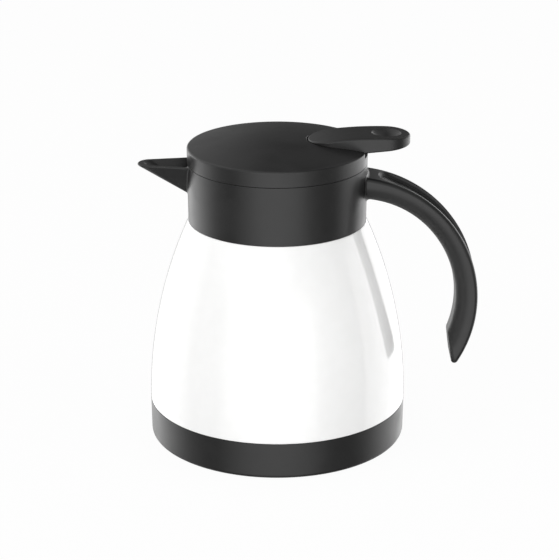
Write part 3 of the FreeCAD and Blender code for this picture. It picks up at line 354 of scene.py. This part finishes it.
def natural_plastic():
    """Unpigmented hard plastic of the valve, turned smooth."""
    material, tree, shader = finish("natural_plastic", Specular_IOR_Level=0.45)
    lines = use(tree, TURNED_LINES, line_pitch=0.0004)
    grain = use(tree, MOULDED_GRAIN, grain_size=0.0005, mottle_size=0.006)
    sheen_and_rub = use(tree, EDGE_SHEEN_AND_RUB, width=0.0004, breakup=0.003)["Mask"]
    body = shade(tree, grain["Mottle"], (0.66, 0.66, 0.64, 1.0), (0.74, 0.74, 0.72, 1.0))
    # Lighter at the edges: painted edge highlight as well as rub wear.
    tone = shade(tree, calc(tree, "MULTIPLY", sheen_and_rub, 0.5), body, (0.82, 0.82, 0.81, 1.0))
    feed(tree, shader, Base_Color=tone, Roughness=ramp(tree, lines["Line"], 0.3, 0.7, 0.34, 0.46),
         Normal=relief(tree, lines["Line"], 0.00001, 0.4))
    return material


def soft_silicone():
    """Milky silicone with a matt bloom and the odd speck."""
    material, tree, shader = finish("soft_silicone", Specular_IOR_Level=0.35, Subsurface_Weight=0.15,
                                    Subsurface_Scale=0.001)
    grain = use(tree, MOULDED_GRAIN, grain_size=0.0004, mottle_size=0.005)
    marks = use(tree, HANDLING, smudge_size=0.006)
    tone = shade(tree, grain["Mottle"], (0.58, 0.585, 0.58, 1.0), (0.66, 0.665, 0.66, 1.0))
    feed(tree, shader, Base_Color=tone, Roughness=ramp(tree, marks["Smudge"], 0.0, 1.0, 0.48, 0.62),
         Normal=relief(tree, grain["Height"], 0.00001, 0.5))
    return material


def foot_rubber():
    """Dark foot rubber, chalky on its high spots, its lighter edges partly painted edge highlight."""
    material, tree, shader = finish("foot_rubber", Specular_IOR_Level=0.25)
    grain = use(tree, MOULDED_GRAIN, grain_size=0.0006, mottle_size=0.012)
    sheen_and_rub = use(tree, EDGE_SHEEN_AND_RUB, width=0.0004, breakup=0.005)["Mask"]
    body = shade(tree, grain["Mottle"], grey(0.022), grey(0.034))
    # Lighter at the edges: chalky wear and painted edge highlight.
    feed(tree, shader, Base_Color=shade(tree, sheen_and_rub, body, grey(0.075)),
         Roughness=ramp(tree, grain["Mottle"], 0.0, 1.0, 0.72, 0.88),
         Normal=relief(tree, grain["Height"], 0.00005, 0.7))
    return material


BLACK_PLASTIC = moulded_plastic("black_plastic", grey(0.0105), grey(0.0135), grey(0.03), (0.30, 0.35),
                                0.00028, 0.000012, 0.5)
INNER_PLASTIC = moulded_plastic("inner_plastic", grey(0.016), grey(0.022), grey(0.04), (0.46, 0.54),
                                0.00045, 0.000016, 0.35)
ENAMEL = enamel_white()
STEEL = spun_steel()
FOIL = reflector_foil()
BRAZE = braze_metal()
NATURAL_PLASTIC = natural_plastic()
SILICONE = soft_silicone()
FOOT_RUBBER = foot_rubber()

NODE_FINISHES = (
    (BLACK_PLASTIC, ("base_cup", "collar", "handle", "lid_cover", "thumb_lever")),
    (INNER_PLASTIC, ("neck_sleeve", "stopper_body", "valve_seat")),
    (NATURAL_PLASTIC, ("stem_bush", "valve_stem", "gasket_retainer", "stem_head")),
    (STEEL, ("shell_neck", "inner_liner", "liner_neck", "liner_floor", "shell_bottom", "lever_pin")),
    (FOIL, ("radiation_foil",)),
)
for material, names in NODE_FINISHES:
    for name in names:
        cad[name].data.materials.clear()
        cad[name].data.materials.append(material)


# Geometry trees

def hand_over(tree, result, shape, material):
    """Last steps of every tree: real geometry with its finish."""
    real = put(tree, "GeometryNodeRealizeInstances", {"Geometry": shape}).outputs[0]
    set_finish = put(tree, "GeometryNodeSetMaterial", {"Geometry": real, "Material": material})
    tree.links.new(set_finish.outputs[0], result.inputs[0])


def lathe_tree():
    """Turns a closed section, drawn as radius and height, about the upright axis."""
    tree, given, result = group("turned_piece", "GeometryNodeTree",
                                {"Section": ("shape", None), "Rail Radius": ("value", 0.05),
                                 "Steps Around": ("count", 96), "Finish": ("finish", None)},
                                {"Piece": "shape"})
    section = put(tree, "GeometryNodeMeshToCurve", {"Mesh": given["Section"]}).outputs[0]
    shift = put(tree, "ShaderNodeCombineXYZ", {"X": calc(tree, "MULTIPLY", given["Rail Radius"], -1.0)})
    section = put(tree, "GeometryNodeTransform",
                  {"Geometry": section, "Translation": shift.outputs[0]}).outputs[0]
    rail = put(tree, "GeometryNodeCurvePrimitiveCircle",
               {"Resolution": given["Steps Around"], "Radius": given["Rail Radius"]}).outputs["Curve"]
    skin = put(tree, "GeometryNodeCurveToMesh", {"Curve": rail, "Profile Curve": section}).outputs[0]
    closed = put(tree, "GeometryNodeMergeByDistance", {"Geometry": skin, "Distance": WELD}).outputs[0]
    hand_over(tree, result, closed, given["Finish"])
    return tree


def spring_tree():
    """Round-wire coil spring on the upright axis with its end coils laid flat."""
    tree, given, result = group("coil_spring", "GeometryNodeTree",
                                {"Start": ("shape", None), "Turns": ("value", 7.0),
                                 "Coil Radius": ("value", 0.006),
                                 "Low End": ("value", 0.0), "High End": ("value", 0.02),
                                 "Wire Radius": ("value", 0.0005), "Flat Share": ("value", 0.1),
                                 "Steps Along": ("count", 400), "Finish": ("finish", None)},
                                {"Piece": "shape"})
    helix = put(tree, "GeometryNodeCurveSpiral",
                {"Resolution": calc(tree, "DIVIDE", given["Steps Along"], given["Turns"]),
                 "Rotations": given["Turns"], "Start Radius": given["Coil Radius"],
                 "End Radius": given["Coil Radius"], "Height": 0.0}).outputs[0]
    share = put(tree, "GeometryNodeSplineParameter").outputs["Factor"]
    climb = put(tree, "ShaderNodeMapRange", {
        "Value": share, "From Min": given["Flat Share"],
        "From Max": calc(tree, "SUBTRACT", 1.0, given["Flat Share"]),
        "To Min": calc(tree, "ADD", given["Low End"], given["Wire Radius"]),
        "To Max": calc(tree, "SUBTRACT", given["High End"], given["Wire Radius"])}).outputs["Result"]
    lift = put(tree, "ShaderNodeCombineXYZ", {"Z": climb}).outputs[0]
    path = put(tree, "GeometryNodeSetPosition", {"Geometry": helix, "Offset": lift}).outputs[0]
    wire = put(tree, "GeometryNodeCurvePrimitiveCircle",
               {"Resolution": SPRING_WIRE_STEPS, "Radius": given["Wire Radius"]}).outputs["Curve"]
    coil = put(tree, "GeometryNodeCurveToMesh",
               {"Curve": path, "Profile Curve": wire, "Fill Caps": True}).outputs[0]
    hand_over(tree, result, coil, given["Finish"])
    return tree


def screw_tree():
    """Pan-head screws with a cross recess, one on each point, turned by the points' lean."""
    tree, given, result = group("pan_screws", "GeometryNodeTree",
                                {"Points": ("shape", None), "Core Radius": ("value", 0.001),
                                 "Thread Radius": ("value", 0.0012), "Thread Pitch": ("value", 0.001),
                                 "Length": ("value", 0.01),
                                 "Head Radius": ("value", 0.002), "Head Height": ("value", 0.0016),
                                 "Recess Width": ("value", 0.0007), "Recess Length": ("value", 0.0026),
                                 "Recess Depth": ("value", 0.0009), "Finish": ("finish", None)},
                                {"Piece": "shape"})
    head = put(tree, "GeometryNodeMeshUVSphere", {"Segments": SCREW_HEAD_STEPS, "Rings": SCREW_STEPS,
                                                  "Radius": given["Head Radius"]}).outputs["Mesh"]
    spot = put(tree, "ShaderNodeSeparateXYZ", {0: put(tree, "GeometryNodeInputPosition").outputs[0]}).outputs
    squeeze = calc(tree, "DIVIDE", given["Head Height"], given["Head Radius"])
    dome = calc(tree, "MINIMUM", calc(tree, "MULTIPLY", spot["Z"], squeeze), 0.0)
    head = put(tree, "GeometryNodeSetPosition", {
        "Geometry": head, "Position": put(tree, "ShaderNodeCombineXYZ", {
            "X": spot["X"], "Y": spot["Y"], "Z": dome}).outputs[0]}).outputs[0]
    head = put(tree, "GeometryNodeMergeByDistance", {"Geometry": head, "Distance": WELD}).outputs[0]
    depth = calc(tree, "MULTIPLY", given["Recess Depth"], 2.0)
    arm = put(tree, "ShaderNodeCombineXYZ",
              {"X": given["Recess Length"], "Y": given["Recess Width"], "Z": depth}).outputs[0]
    bar = put(tree, "GeometryNodeMeshCube", {"Size": arm}).outputs[0]
    low = put(tree, "ShaderNodeCombineXYZ",
              {"Z": calc(tree, "MULTIPLY", given["Head Height"], -1.0)}).outputs[0]
    bars = [put(tree, "GeometryNodeTransform", {"Geometry": bar, "Translation": low,
                                                "Rotation": (0.0, 0.0, turn)}).outputs[0]
            for turn in (0.0, math.pi / 2)]
    cut = put(tree, "GeometryNodeMeshBoolean", {"Mesh 1": head}, operation="DIFFERENCE", solver="EXACT")
    for one in bars:
        tree.links.new(one, cut.inputs["Mesh 2"])
    core = put(tree, "GeometryNodeMeshCylinder",
               {"Vertices": SCREW_STEPS, "Radius": given["Core Radius"],
                "Depth": given["Length"]}).outputs["Mesh"]
    rise = put(tree, "ShaderNodeCombineXYZ", {"Z": calc(tree, "MULTIPLY", given["Length"], 0.5)}).outputs[0]
    core = put(tree, "GeometryNodeTransform", {"Geometry": core, "Translation": rise}).outputs[0]
    turns = calc(tree, "DIVIDE", calc(tree, "SUBTRACT", given["Length"], given["Thread Pitch"]),
                 given["Thread Pitch"])
    helix = put(tree, "GeometryNodeCurveSpiral", {
        "Resolution": SCREW_STEPS, "Rotations": turns, "Start Radius": given["Core Radius"],
        "End Radius": given["Core Radius"],
        "Height": calc(tree, "MULTIPLY", turns, given["Thread Pitch"])}).outputs[0]
    helix = put(tree, "GeometryNodeTransform", {
        "Geometry": helix, "Translation": put(tree, "ShaderNodeCombineXYZ", {
            "Z": calc(tree, "MULTIPLY", given["Thread Pitch"], 0.5)}).outputs[0]}).outputs[0]
    ridge = put(tree, "GeometryNodeCurvePrimitiveCircle", {
        "Resolution": SCREW_RIDGE_STEPS,
        "Radius": calc(tree, "SUBTRACT", given["Thread Radius"], given["Core Radius"])}).outputs["Curve"]
    thread = put(tree, "GeometryNodeCurveToMesh",
                 {"Curve": helix, "Profile Curve": ridge, "Fill Caps": True}).outputs[0]
    one = put(tree, "GeometryNodeJoinGeometry")
    for shape in (cut.outputs[0], core, thread):
        tree.links.new(shape, one.inputs[0])
    lean = put(tree, "GeometryNodeInputNamedAttribute", {"Name": "lean"}, data_type="FLOAT_VECTOR").outputs[0]
    rotation = put(tree, "FunctionNodeEulerToRotation", {0: lean}).outputs[0]
    placed = put(tree, "GeometryNodeInstanceOnPoints",
                 {"Points": given["Points"], "Instance": one.outputs[0], "Rotation": rotation}).outputs[0]
    hand_over(tree, result, placed, given["Finish"])
    return tree


LATHE = lathe_tree()
SPRING = spring_tree()
SCREWS = screw_tree()


def grow(tree, name, source, closed=True, **values):
    """Runs a geometry tree on a mesh and keeps the result as a plain piece."""
    piece = bpy.data.objects.new(name, source)
    bpy.context.scene.collection.objects.link(piece)
    worker = piece.modifiers.new("tree", "NODES")
    worker.node_group = tree
    sockets = {item.name: item.identifier for item in tree.interface.items_tree if item.in_out == "INPUT"}
    for label, value in values.items():
        worker[sockets[label.replace("_", " ").title()]] = value
    made = bpy.data.meshes.new_from_object(piece.evaluated_get(bpy.context.evaluated_depsgraph_get()))
    piece.modifiers.remove(worker)
    piece.data = made
    made.name = name
    shell = bmesh.new()
    shell.from_mesh(made)
    if closed:
        bmesh.ops.remove_doubles(shell, verts=shell.verts, dist=SEAM_WELD)
    bmesh.ops.recalc_face_normals(shell, faces=shell.faces)
    shell.to_mesh(made)
    shell.free()
    made.shade_smooth()
    made.set_sharp_from_angle(angle=SHARP_ANGLE)
    return piece


def eased(corners):
    """Outline points with each corner that has a third number rounded to that radius."""
    points = []
    for index, corner in enumerate(corners):
        here = Vector(corner[:2])
        if len(corner) < 3:
            points.append(here)
            continue
        before = (Vector(corners[index - 1][:2]) - here).normalized()
        after = (Vector(corners[(index + 1) % len(corners)][:2]) - here).normalized()
        half = before.angle(after) / 2
        middle = here + (before + after).normalized() * (corner[2] / math.sin(half))
        start = (here + before * (corner[2] / math.tan(half)) - middle).normalized()
        end = (here + after * (corner[2] / math.tan(half)) - middle).normalized()
        for step in range(CORNER_STEPS + 1):
            points.append(middle + start.slerp(end, step / CORNER_STEPS).normalized() * corner[2])
    return points


def turned(name, corners, material, steps=SMALL_STEPS):
    """Turned piece from its closed section as radius, height and, at a rounded corner, a radius."""
    points = eased(corners)
    wire = bpy.data.meshes.new(name + "_section")
    edges = [(index, (index + 1) % len(points)) for index in range(len(points))]
    wire.from_pydata([(point.x, -point.y, 0.0) for point in points], edges, [])
    return grow(LATHE, name, wire, steps_around=steps, finish=material)


def stand_in(piece, body, slot, *names):
    """Shows a piece on its body in place of the plain nodes named."""
    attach(piece, body)
    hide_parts(*names)


# Pot wall

def wall_radius(widest, z, inset=0.0):
    """Radius of the bulged wall at a height, or of a line that lies inset from it."""
    arc = WALL_BULGE_RADIUS - inset
    return widest - WALL_BULGE_RADIUS + math.sqrt(arc ** 2 - (z - WALL_FOOT_Z) ** 2)


def white_body():
    """Bell-shaped wall with a joggle at its foot, which stands in the base, and rolled cut edges."""
    low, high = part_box("outer_shell")
    widest = high.x
    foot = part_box("base_cup")[1].z
    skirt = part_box("shell_bottom")[1].x + STEEL_WALL
    joggle = foot + SEAM_GAP
    arc = [joggle + (high.z - joggle) * step / WALL_POINTS for step in range(WALL_POINTS + 1)]
    corners = [(skirt, low.z, EDGE_ROLL), (skirt, joggle), (wall_radius(widest, joggle), joggle, EDGE_ROLL)]
    corners += [(wall_radius(widest, z), z) for z in arc[1:-1]]
    corners += [(wall_radius(widest, high.z), high.z, EDGE_ROLL),
                (wall_radius(widest, high.z, STEEL_WALL), high.z, EDGE_ROLL)]
    inside = joggle + STEEL_WALL
    corners += [(wall_radius(widest, z, STEEL_WALL), z) for z in reversed(arc[1:-1]) if z > inside]
    corners += [(wall_radius(widest, inside, STEEL_WALL), inside), (skirt - STEEL_WALL, inside),
                (skirt - STEEL_WALL, low.z, EDGE_ROLL)]
    return turned("white_body", corners, ENAMEL, FINE_STEPS)


stand_in(white_body(), "pot", "white_paint", "outer_shell")


# Foot pad

def foot_pad():
    """Round pad with grooves cut in its underside, so that it grips a wet table."""
    low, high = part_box("base_pad")
    corners = [(0.0, low.z)]
    groove = PAD_FIRST_GROOVE
    while groove + PAD_GROOVE_WIDTH < high.x - PAD_GROOVE_WIDTH:
        corners += [(groove, low.z, PAD_EDGE_ROUND), (groove, low.z + PAD_GROOVE_DEPTH, PAD_EDGE_ROUND / 2),
                    (groove + PAD_GROOVE_WIDTH, low.z + PAD_GROOVE_DEPTH, PAD_EDGE_ROUND / 2),
                    (groove + PAD_GROOVE_WIDTH, low.z, PAD_EDGE_ROUND)]
        groove += PAD_GROOVE_PITCH
    corners += [(high.x, low.z, PAD_EDGE_ROUND), (high.x, high.z), (0.0, high.z)]
    return turned("foot_pad", corners, FOOT_RUBBER)


stand_in(foot_pad(), "pot", "pad_rubber", "base_pad")


# Seals

def ring_sizes(node):
    """Inner radius, outer radius, low and high end of a ring that lies round the upright axis."""
    low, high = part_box(node)
    inner = min(math.hypot(vertex.co.x, vertex.co.y) for vertex in cad[node].data.vertices)
    return inner, high.x, low.z, high.z


def lipped_seal():
    """Sleeve of silicone with lips that wipe the wall of the neck."""
    inner, outer, low, high = ring_sizes("stopper_seal")
    pitch = (high - low) / SEAL_LIPS
    root = outer - SEAL_LIP_DEPTH
    corners = [(inner, low, EDGE_ROLL), (root, low, EDGE_ROLL / 2)]
    for lip in range(SEAL_LIPS):
        crest = low + pitch * (lip + 0.5)
        foot, start, end, back = (crest + pitch * share for share in SEAL_LIP_SHARES)
        corners += [(root, foot), (outer, start, EDGE_ROLL / 4), (outer, end, EDGE_ROLL / 4), (root, back)]
    corners += [(root, high, EDGE_ROLL / 2), (inner, high, EDGE_ROLL)]
    return turned("lipped_seal", corners, SILICONE)


def beaded_washer(node, name, beads):
    """Flat sealing ring whose lower face carries raised beads."""
    inner, outer, low, high = ring_sizes(node)
    flat = low + BEAD_RISE
    corners = [(inner, high, EDGE_ROLL / 2), (inner, flat, EDGE_ROLL / 2)]
    width = (outer - inner) / (2 * beads + 1)
    for bead in range(beads):
        start = inner + width * (2 * bead + 1)
        corners.append((start, flat))
        corners += [(start + width * share, low, BEAD_RISE / 3) for share in BEAD_TOP_SHARES]
        corners.append((start + width, flat))
    corners += [(outer, flat, EDGE_ROLL / 2), (outer, high, EDGE_ROLL / 2)]
    return turned(name, corners, SILICONE)


def stem_ring():
    """Round rubber ring in the bush, trimmed at the parting line of its mould."""
    inner, outer, low, high = ring_sizes("stem_o_ring")
    middle, section = (inner + outer) / 2, (outer - inner) / 2
    height = (low + high) / 2
    corners = []
    for step in range(RING_STEPS):
        angle = step * math.tau / RING_STEPS
        reach = section * (1.0 if step % (RING_STEPS // 2) else PARTING_SHARE)
        corners.append((middle + reach * math.cos(angle), height + reach * math.sin(angle)))
    return turned("stem_ring", corners, SILICONE)


stand_in(lipped_seal(), "seal", "silicone", "stopper_seal")
stand_in(beaded_washer("neck_gasket", "neck_washer", 1), "pot", "silicone", "neck_gasket")
stand_in(beaded_washer("valve_gasket", "valve_washer", 2), "valve", "silicone", "valve_gasket")
stand_in(stem_ring(), "lid", "silicone", "stem_o_ring")


# Vacuum seal

def solder_bead():
    """Low dome of brazing alloy over the pumping hole."""
    low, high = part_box("vacuum_bead")
    radius, height = high.x, high.z - low.z
    corners = [(0.0, high.z), (0.0, low.z)]
    for step in range(1, SOLDER_STEPS):
        share = step / SOLDER_STEPS
        corners.append((radius * share, high.z - height * (1 - share ** 2) ** SOLDER_POWER))
    corners.append((radius, high.z))
    return turned("solder_bead", corners, BRAZE, TINY_STEPS)


def getter_tablet():
    """Pressed tablet with a dished face and chamfered rim."""
    low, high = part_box("getter")
    radius = high.x
    dished = low.z + (high.z - low.z) * GETTER_DISH_SHARE
    dish, inner, outer = (radius * share for share in GETTER_RIM_SHARES)
    corners = [(0.0, high.z), (0.0, dished), (dish, dished), (inner, low.z), (outer, low.z), (radius, dished),
               (radius, high.z)]
    return turned("getter_tablet", corners, STEEL, TINY_STEPS)


stand_in(solder_bead(), "pot", "braze", "vacuum_bead")
stand_in(getter_tablet(), "pot", "bare_steel", "getter")


# Spring and screws

def valve_coil():
    """Spring that holds the valve shut."""
    low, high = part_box("valve_spring")
    radius = high.x - SPRING_WIRE_RADIUS
    return grow(SPRING, "valve_coil", bpy.data.meshes.new("spring_start"), turns=SPRING_TURNS,
                coil_radius=radius, low_end=low.z, high_end=high.z, wire_radius=SPRING_WIRE_RADIUS,
                flat_share=SPRING_FLAT_SHARE, steps_along=SPRING_STEPS, finish=STEEL)


def screw_set(name, spots, lean, length):
    """Equal screws with their heads' flat sides at the spots and their shanks turned by the lean."""
    points = bpy.data.meshes.new(name + "_points")
    points.from_pydata(spots, [], [])
    leans = points.attributes.new("lean", "FLOAT_VECTOR", "POINT")
    for item in leans.data:
        item.vector = lean
    return grow(SCREWS, name, points, closed=False, core_radius=SCREW_CORE_RADIUS,
                thread_radius=SCREW_THREAD_RADIUS, thread_pitch=SCREW_THREAD_PITCH, length=length,
                head_radius=SCREW_HEAD_RADIUS, head_height=SCREW_HEAD_HEIGHT,
                recess_width=SCREW_RECESS_WIDTH, recess_length=SCREW_RECESS_LENGTH,
                recess_depth=SCREW_RECESS_DEPTH, finish=STEEL)


def handle_screw_spots():
    """Places of the two screws that hold the handle, and their whole length."""
    low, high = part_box("handle_screws")
    z = (low.z + high.z) / 2
    sides = (low.y + SCREW_HEAD_RADIUS, high.y - SCREW_HEAD_RADIUS)
    return [(low.x + SCREW_HEAD_HEIGHT, y, z) for y in sides], high.x - low.x


def lid_screw_spots():
    """Places of the screws that hold the lid together, and their whole length."""
    low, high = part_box("lid_screws")
    circle = -low.x - SCREW_HEAD_RADIUS
    z = low.z + SCREW_HEAD_HEIGHT
    turns = [math.radians(LID_SCREW_START + 360 / LID_SCREWS * step) for step in range(LID_SCREWS)]
    return [(circle * math.cos(turn), circle * math.sin(turn), z) for turn in turns], high.z - low.z


coil = valve_coil()
stand_in(coil, "lid", "bare_steel", "valve_spring")
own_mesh(coil)
spots, reach = handle_screw_spots()
stand_in(screw_set("grip_screws", spots, (0.0, math.pi / 2, 0.0), reach - SCREW_HEAD_HEIGHT),
         "pot", "bare_steel", "handle_screws")
spots, reach = lid_screw_spots()
stand_in(screw_set("cover_screws", spots, (0.0, 0.0, 0.0), reach - SCREW_HEAD_HEIGHT),
         "lid", "bare_steel", "lid_screws")


# Studio

FLOOR_SIZE = 16.0
FLOOR_DROP = 0.0003
PAGE_SHARE = 0.96               # how far the floor reads as the white page, the rest takes the shadow
FILL_LEVEL = 0.53
SKY_PEAK = 2.0                  # brightest part of the room in reflections
CAMERA_PLACE = (0.00112, -0.96097, 0.43488)
CAMERA_PITCH = math.radians(69.825)
CAMERA_LENS = 127.71
CAMERA_SENSOR = 36.0
CAMERA_RANGE = (0.05, 60.0)

# Brightness of the room round the object, by degrees from the front and as a share of the peak.
# Low is what upright walls mirror, high is what the lid mirrors.
ROOM_LOW = (
    (-180, 0.07), (-172, 0.20), (-163, 0.50), (-150, 0.92), (-130, 0.95), (-112, 0.84), (-96, 0.54),
    (-80, 0.18), (-58, 0.12), (-42, 0.44), (-22, 0.80), (0, 0.87), (20, 0.79), (34, 0.62), (37, 0.34),
    (52, 0.17), (72, 0.11), (84, 0.09), (88, 0.40), (112, 0.76), (130, 0.92), (150, 0.92), (163, 0.86),
    (169, 0.20), (175, 0.06), (180, 0.05))
ROOM_HIGH = (
    (-180, 0.03), (-172, 0.17), (-158, 0.40), (-130, 0.50), (-100, 0.48), (-70, 0.32), (-40, 0.45),
    (0, 0.50), (40, 0.20), (75, 0.05), (110, 0.16), (145, 0.22), (165, 0.15), (173, 0.05), (180, 0.03))
HIGH_RISE = (0.17, 0.33)        # upward slant over which low turns into high
FLOOR_SHARE = 0.36              # what is left of the low light in steep downward directions
FLOOR_FADE = (-0.66, -0.37)     # downward slant over which it fades

# Name, place, aim, size and watts of each soft lamp
LAMPS = (
    ("front_box", (-0.3, -2.0, 0.7), (0.0, 0.0, 0.09), (1.2, 1.3), 12.0),
    ("left_box", (-1.7, -0.9, 1.1), (0.0, 0.0, 0.08), (1.2, 1.4), 15.0),
    ("right_box", (1.8, -0.3, 0.9), (0.0, 0.0, 0.08), (1.0, 1.4), 6.2),
    ("bounce_card", (0.36, -0.38, 0.02), (0.02, 0.0, 0.06), (0.3, 0.2), 0.38),
)


def floor():
    """Pale floor that reads as the white page to the camera and keeps a faint shadow."""
    half = FLOOR_SIZE / 2
    mesh = bpy.data.meshes.new("floor")
    corners = ((-half, -half), (half, -half), (half, half), (-half, half))
    mesh.from_pydata([(x, y, -FLOOR_DROP) for x, y in corners], [], [(0, 1, 2, 3)])
    plane = bpy.data.objects.new("floor", mesh)
    bpy.context.scene.collection.objects.link(plane)
    plane.visible_glossy = False
    material, tree, shader = finish("page_white", Base_Color=grey(0.85), Roughness=0.9,
                                    Specular_IOR_Level=0.0)
    path = put(tree, "ShaderNodeLightPath").outputs
    seen = calc(tree, "ADD", path["Is Camera Ray"], path["Is Transmission Ray"], clamp=True)
    glow = put(tree, "ShaderNodeEmission", {"Color": grey(1.0), "Strength": 1.0}).outputs[0]
    mixed = put(tree, "ShaderNodeMixShader", {0: calc(tree, "MULTIPLY", seen, PAGE_SHARE),
                                              1: shader.outputs[0], 2: glow}).outputs[0]
    tree.links.new(mixed, tree.nodes["Material Output"].inputs["Surface"])
    mesh.materials.append(material)


def room_band(tree, turn, stops):
    """Smooth grey level round the room."""
    band = put(tree, "ShaderNodeValToRGB", {0: turn})
    band.color_ramp.interpolation = "EASE"
    marks = band.color_ramp.elements
    while len(marks) > 1:
        marks.remove(marks[-1])
    marks[0].position, marks[0].color = 0.0, grey(stops[0][1])
    for angle, level in stops[1:]:
        marks.new(angle / 360 + 0.5).color = grey(level)
    return band.outputs[0]


def sky():
    """White page behind everything, a soft studio with dim corners in reflections and an even fill."""
    world = bpy.data.worlds.new("studio")
    bpy.context.scene.world = world
    world.use_nodes = True
    tree = world.node_tree
    path = put(tree, "ShaderNodeLightPath").outputs
    outward = put(tree, "ShaderNodeTexCoord").outputs["Generated"]
    way = put(tree, "ShaderNodeSeparateXYZ", {0: outward}).outputs
    turn = calc(tree, "ARCTAN2", way["X"], calc(tree, "MULTIPLY", way["Y"], -1.0))
    turn = calc(tree, "ADD", calc(tree, "DIVIDE", turn, math.tau), 0.5)
    height = ramp(tree, way["Z"], *HIGH_RISE)
    room = shade(tree, height, room_band(tree, turn, ROOM_LOW), room_band(tree, turn, ROOM_HIGH))
    depth = ramp(tree, way["Z"], *FLOOR_FADE, FLOOR_SHARE, 1.0)
    room = calc(tree, "MULTIPLY", room, calc(tree, "MULTIPLY", depth, SKY_PEAK))
    page = calc(tree, "ADD", path["Is Camera Ray"], path["Is Transmission Ray"], clamp=True)
    level = put(tree, "ShaderNodeMix", {0: path["Is Glossy Ray"], 2: FILL_LEVEL, 3: room},
                data_type="FLOAT").outputs[0]
    strength = put(tree, "ShaderNodeMix", {0: page, 2: level, 3: 1.0}, data_type="FLOAT").outputs[0]
    shader = tree.nodes["Background"]
    tree.links.new(strength, shader.inputs["Strength"])
    shader.inputs["Color"].default_value = grey(1.0)


def softbox(name, place, aim, size, power):
    data = bpy.data.lights.new(name, "AREA")
    data.shape = "RECTANGLE"
    data.size, data.size_y = size
    data.energy = power
    lamp = bpy.data.objects.new(name, data)
    lamp.location = place
    lamp.rotation_euler = (Vector(aim) - Vector(place)).to_track_quat("-Z", "Y").to_euler()
    lamp.visible_camera = False
    lamp.visible_glossy = False
    bpy.context.scene.collection.objects.link(lamp)


def camera():
    data = bpy.data.cameras.new("camera")
    data.lens = CAMERA_LENS
    data.sensor_width = CAMERA_SENSOR
    data.clip_start, data.clip_end = CAMERA_RANGE
    view = bpy.data.objects.new("camera", data)
    view.location = CAMERA_PLACE
    view.rotation_euler = (CAMERA_PITCH, 0.0, 0.0)
    bpy.context.scene.collection.objects.link(view)
    bpy.context.scene.camera = view


floor()
sky()
camera()
for lamp in LAMPS:
    softbox(*lamp)
bpy.context.scene.view_settings.view_transform = "Standard"
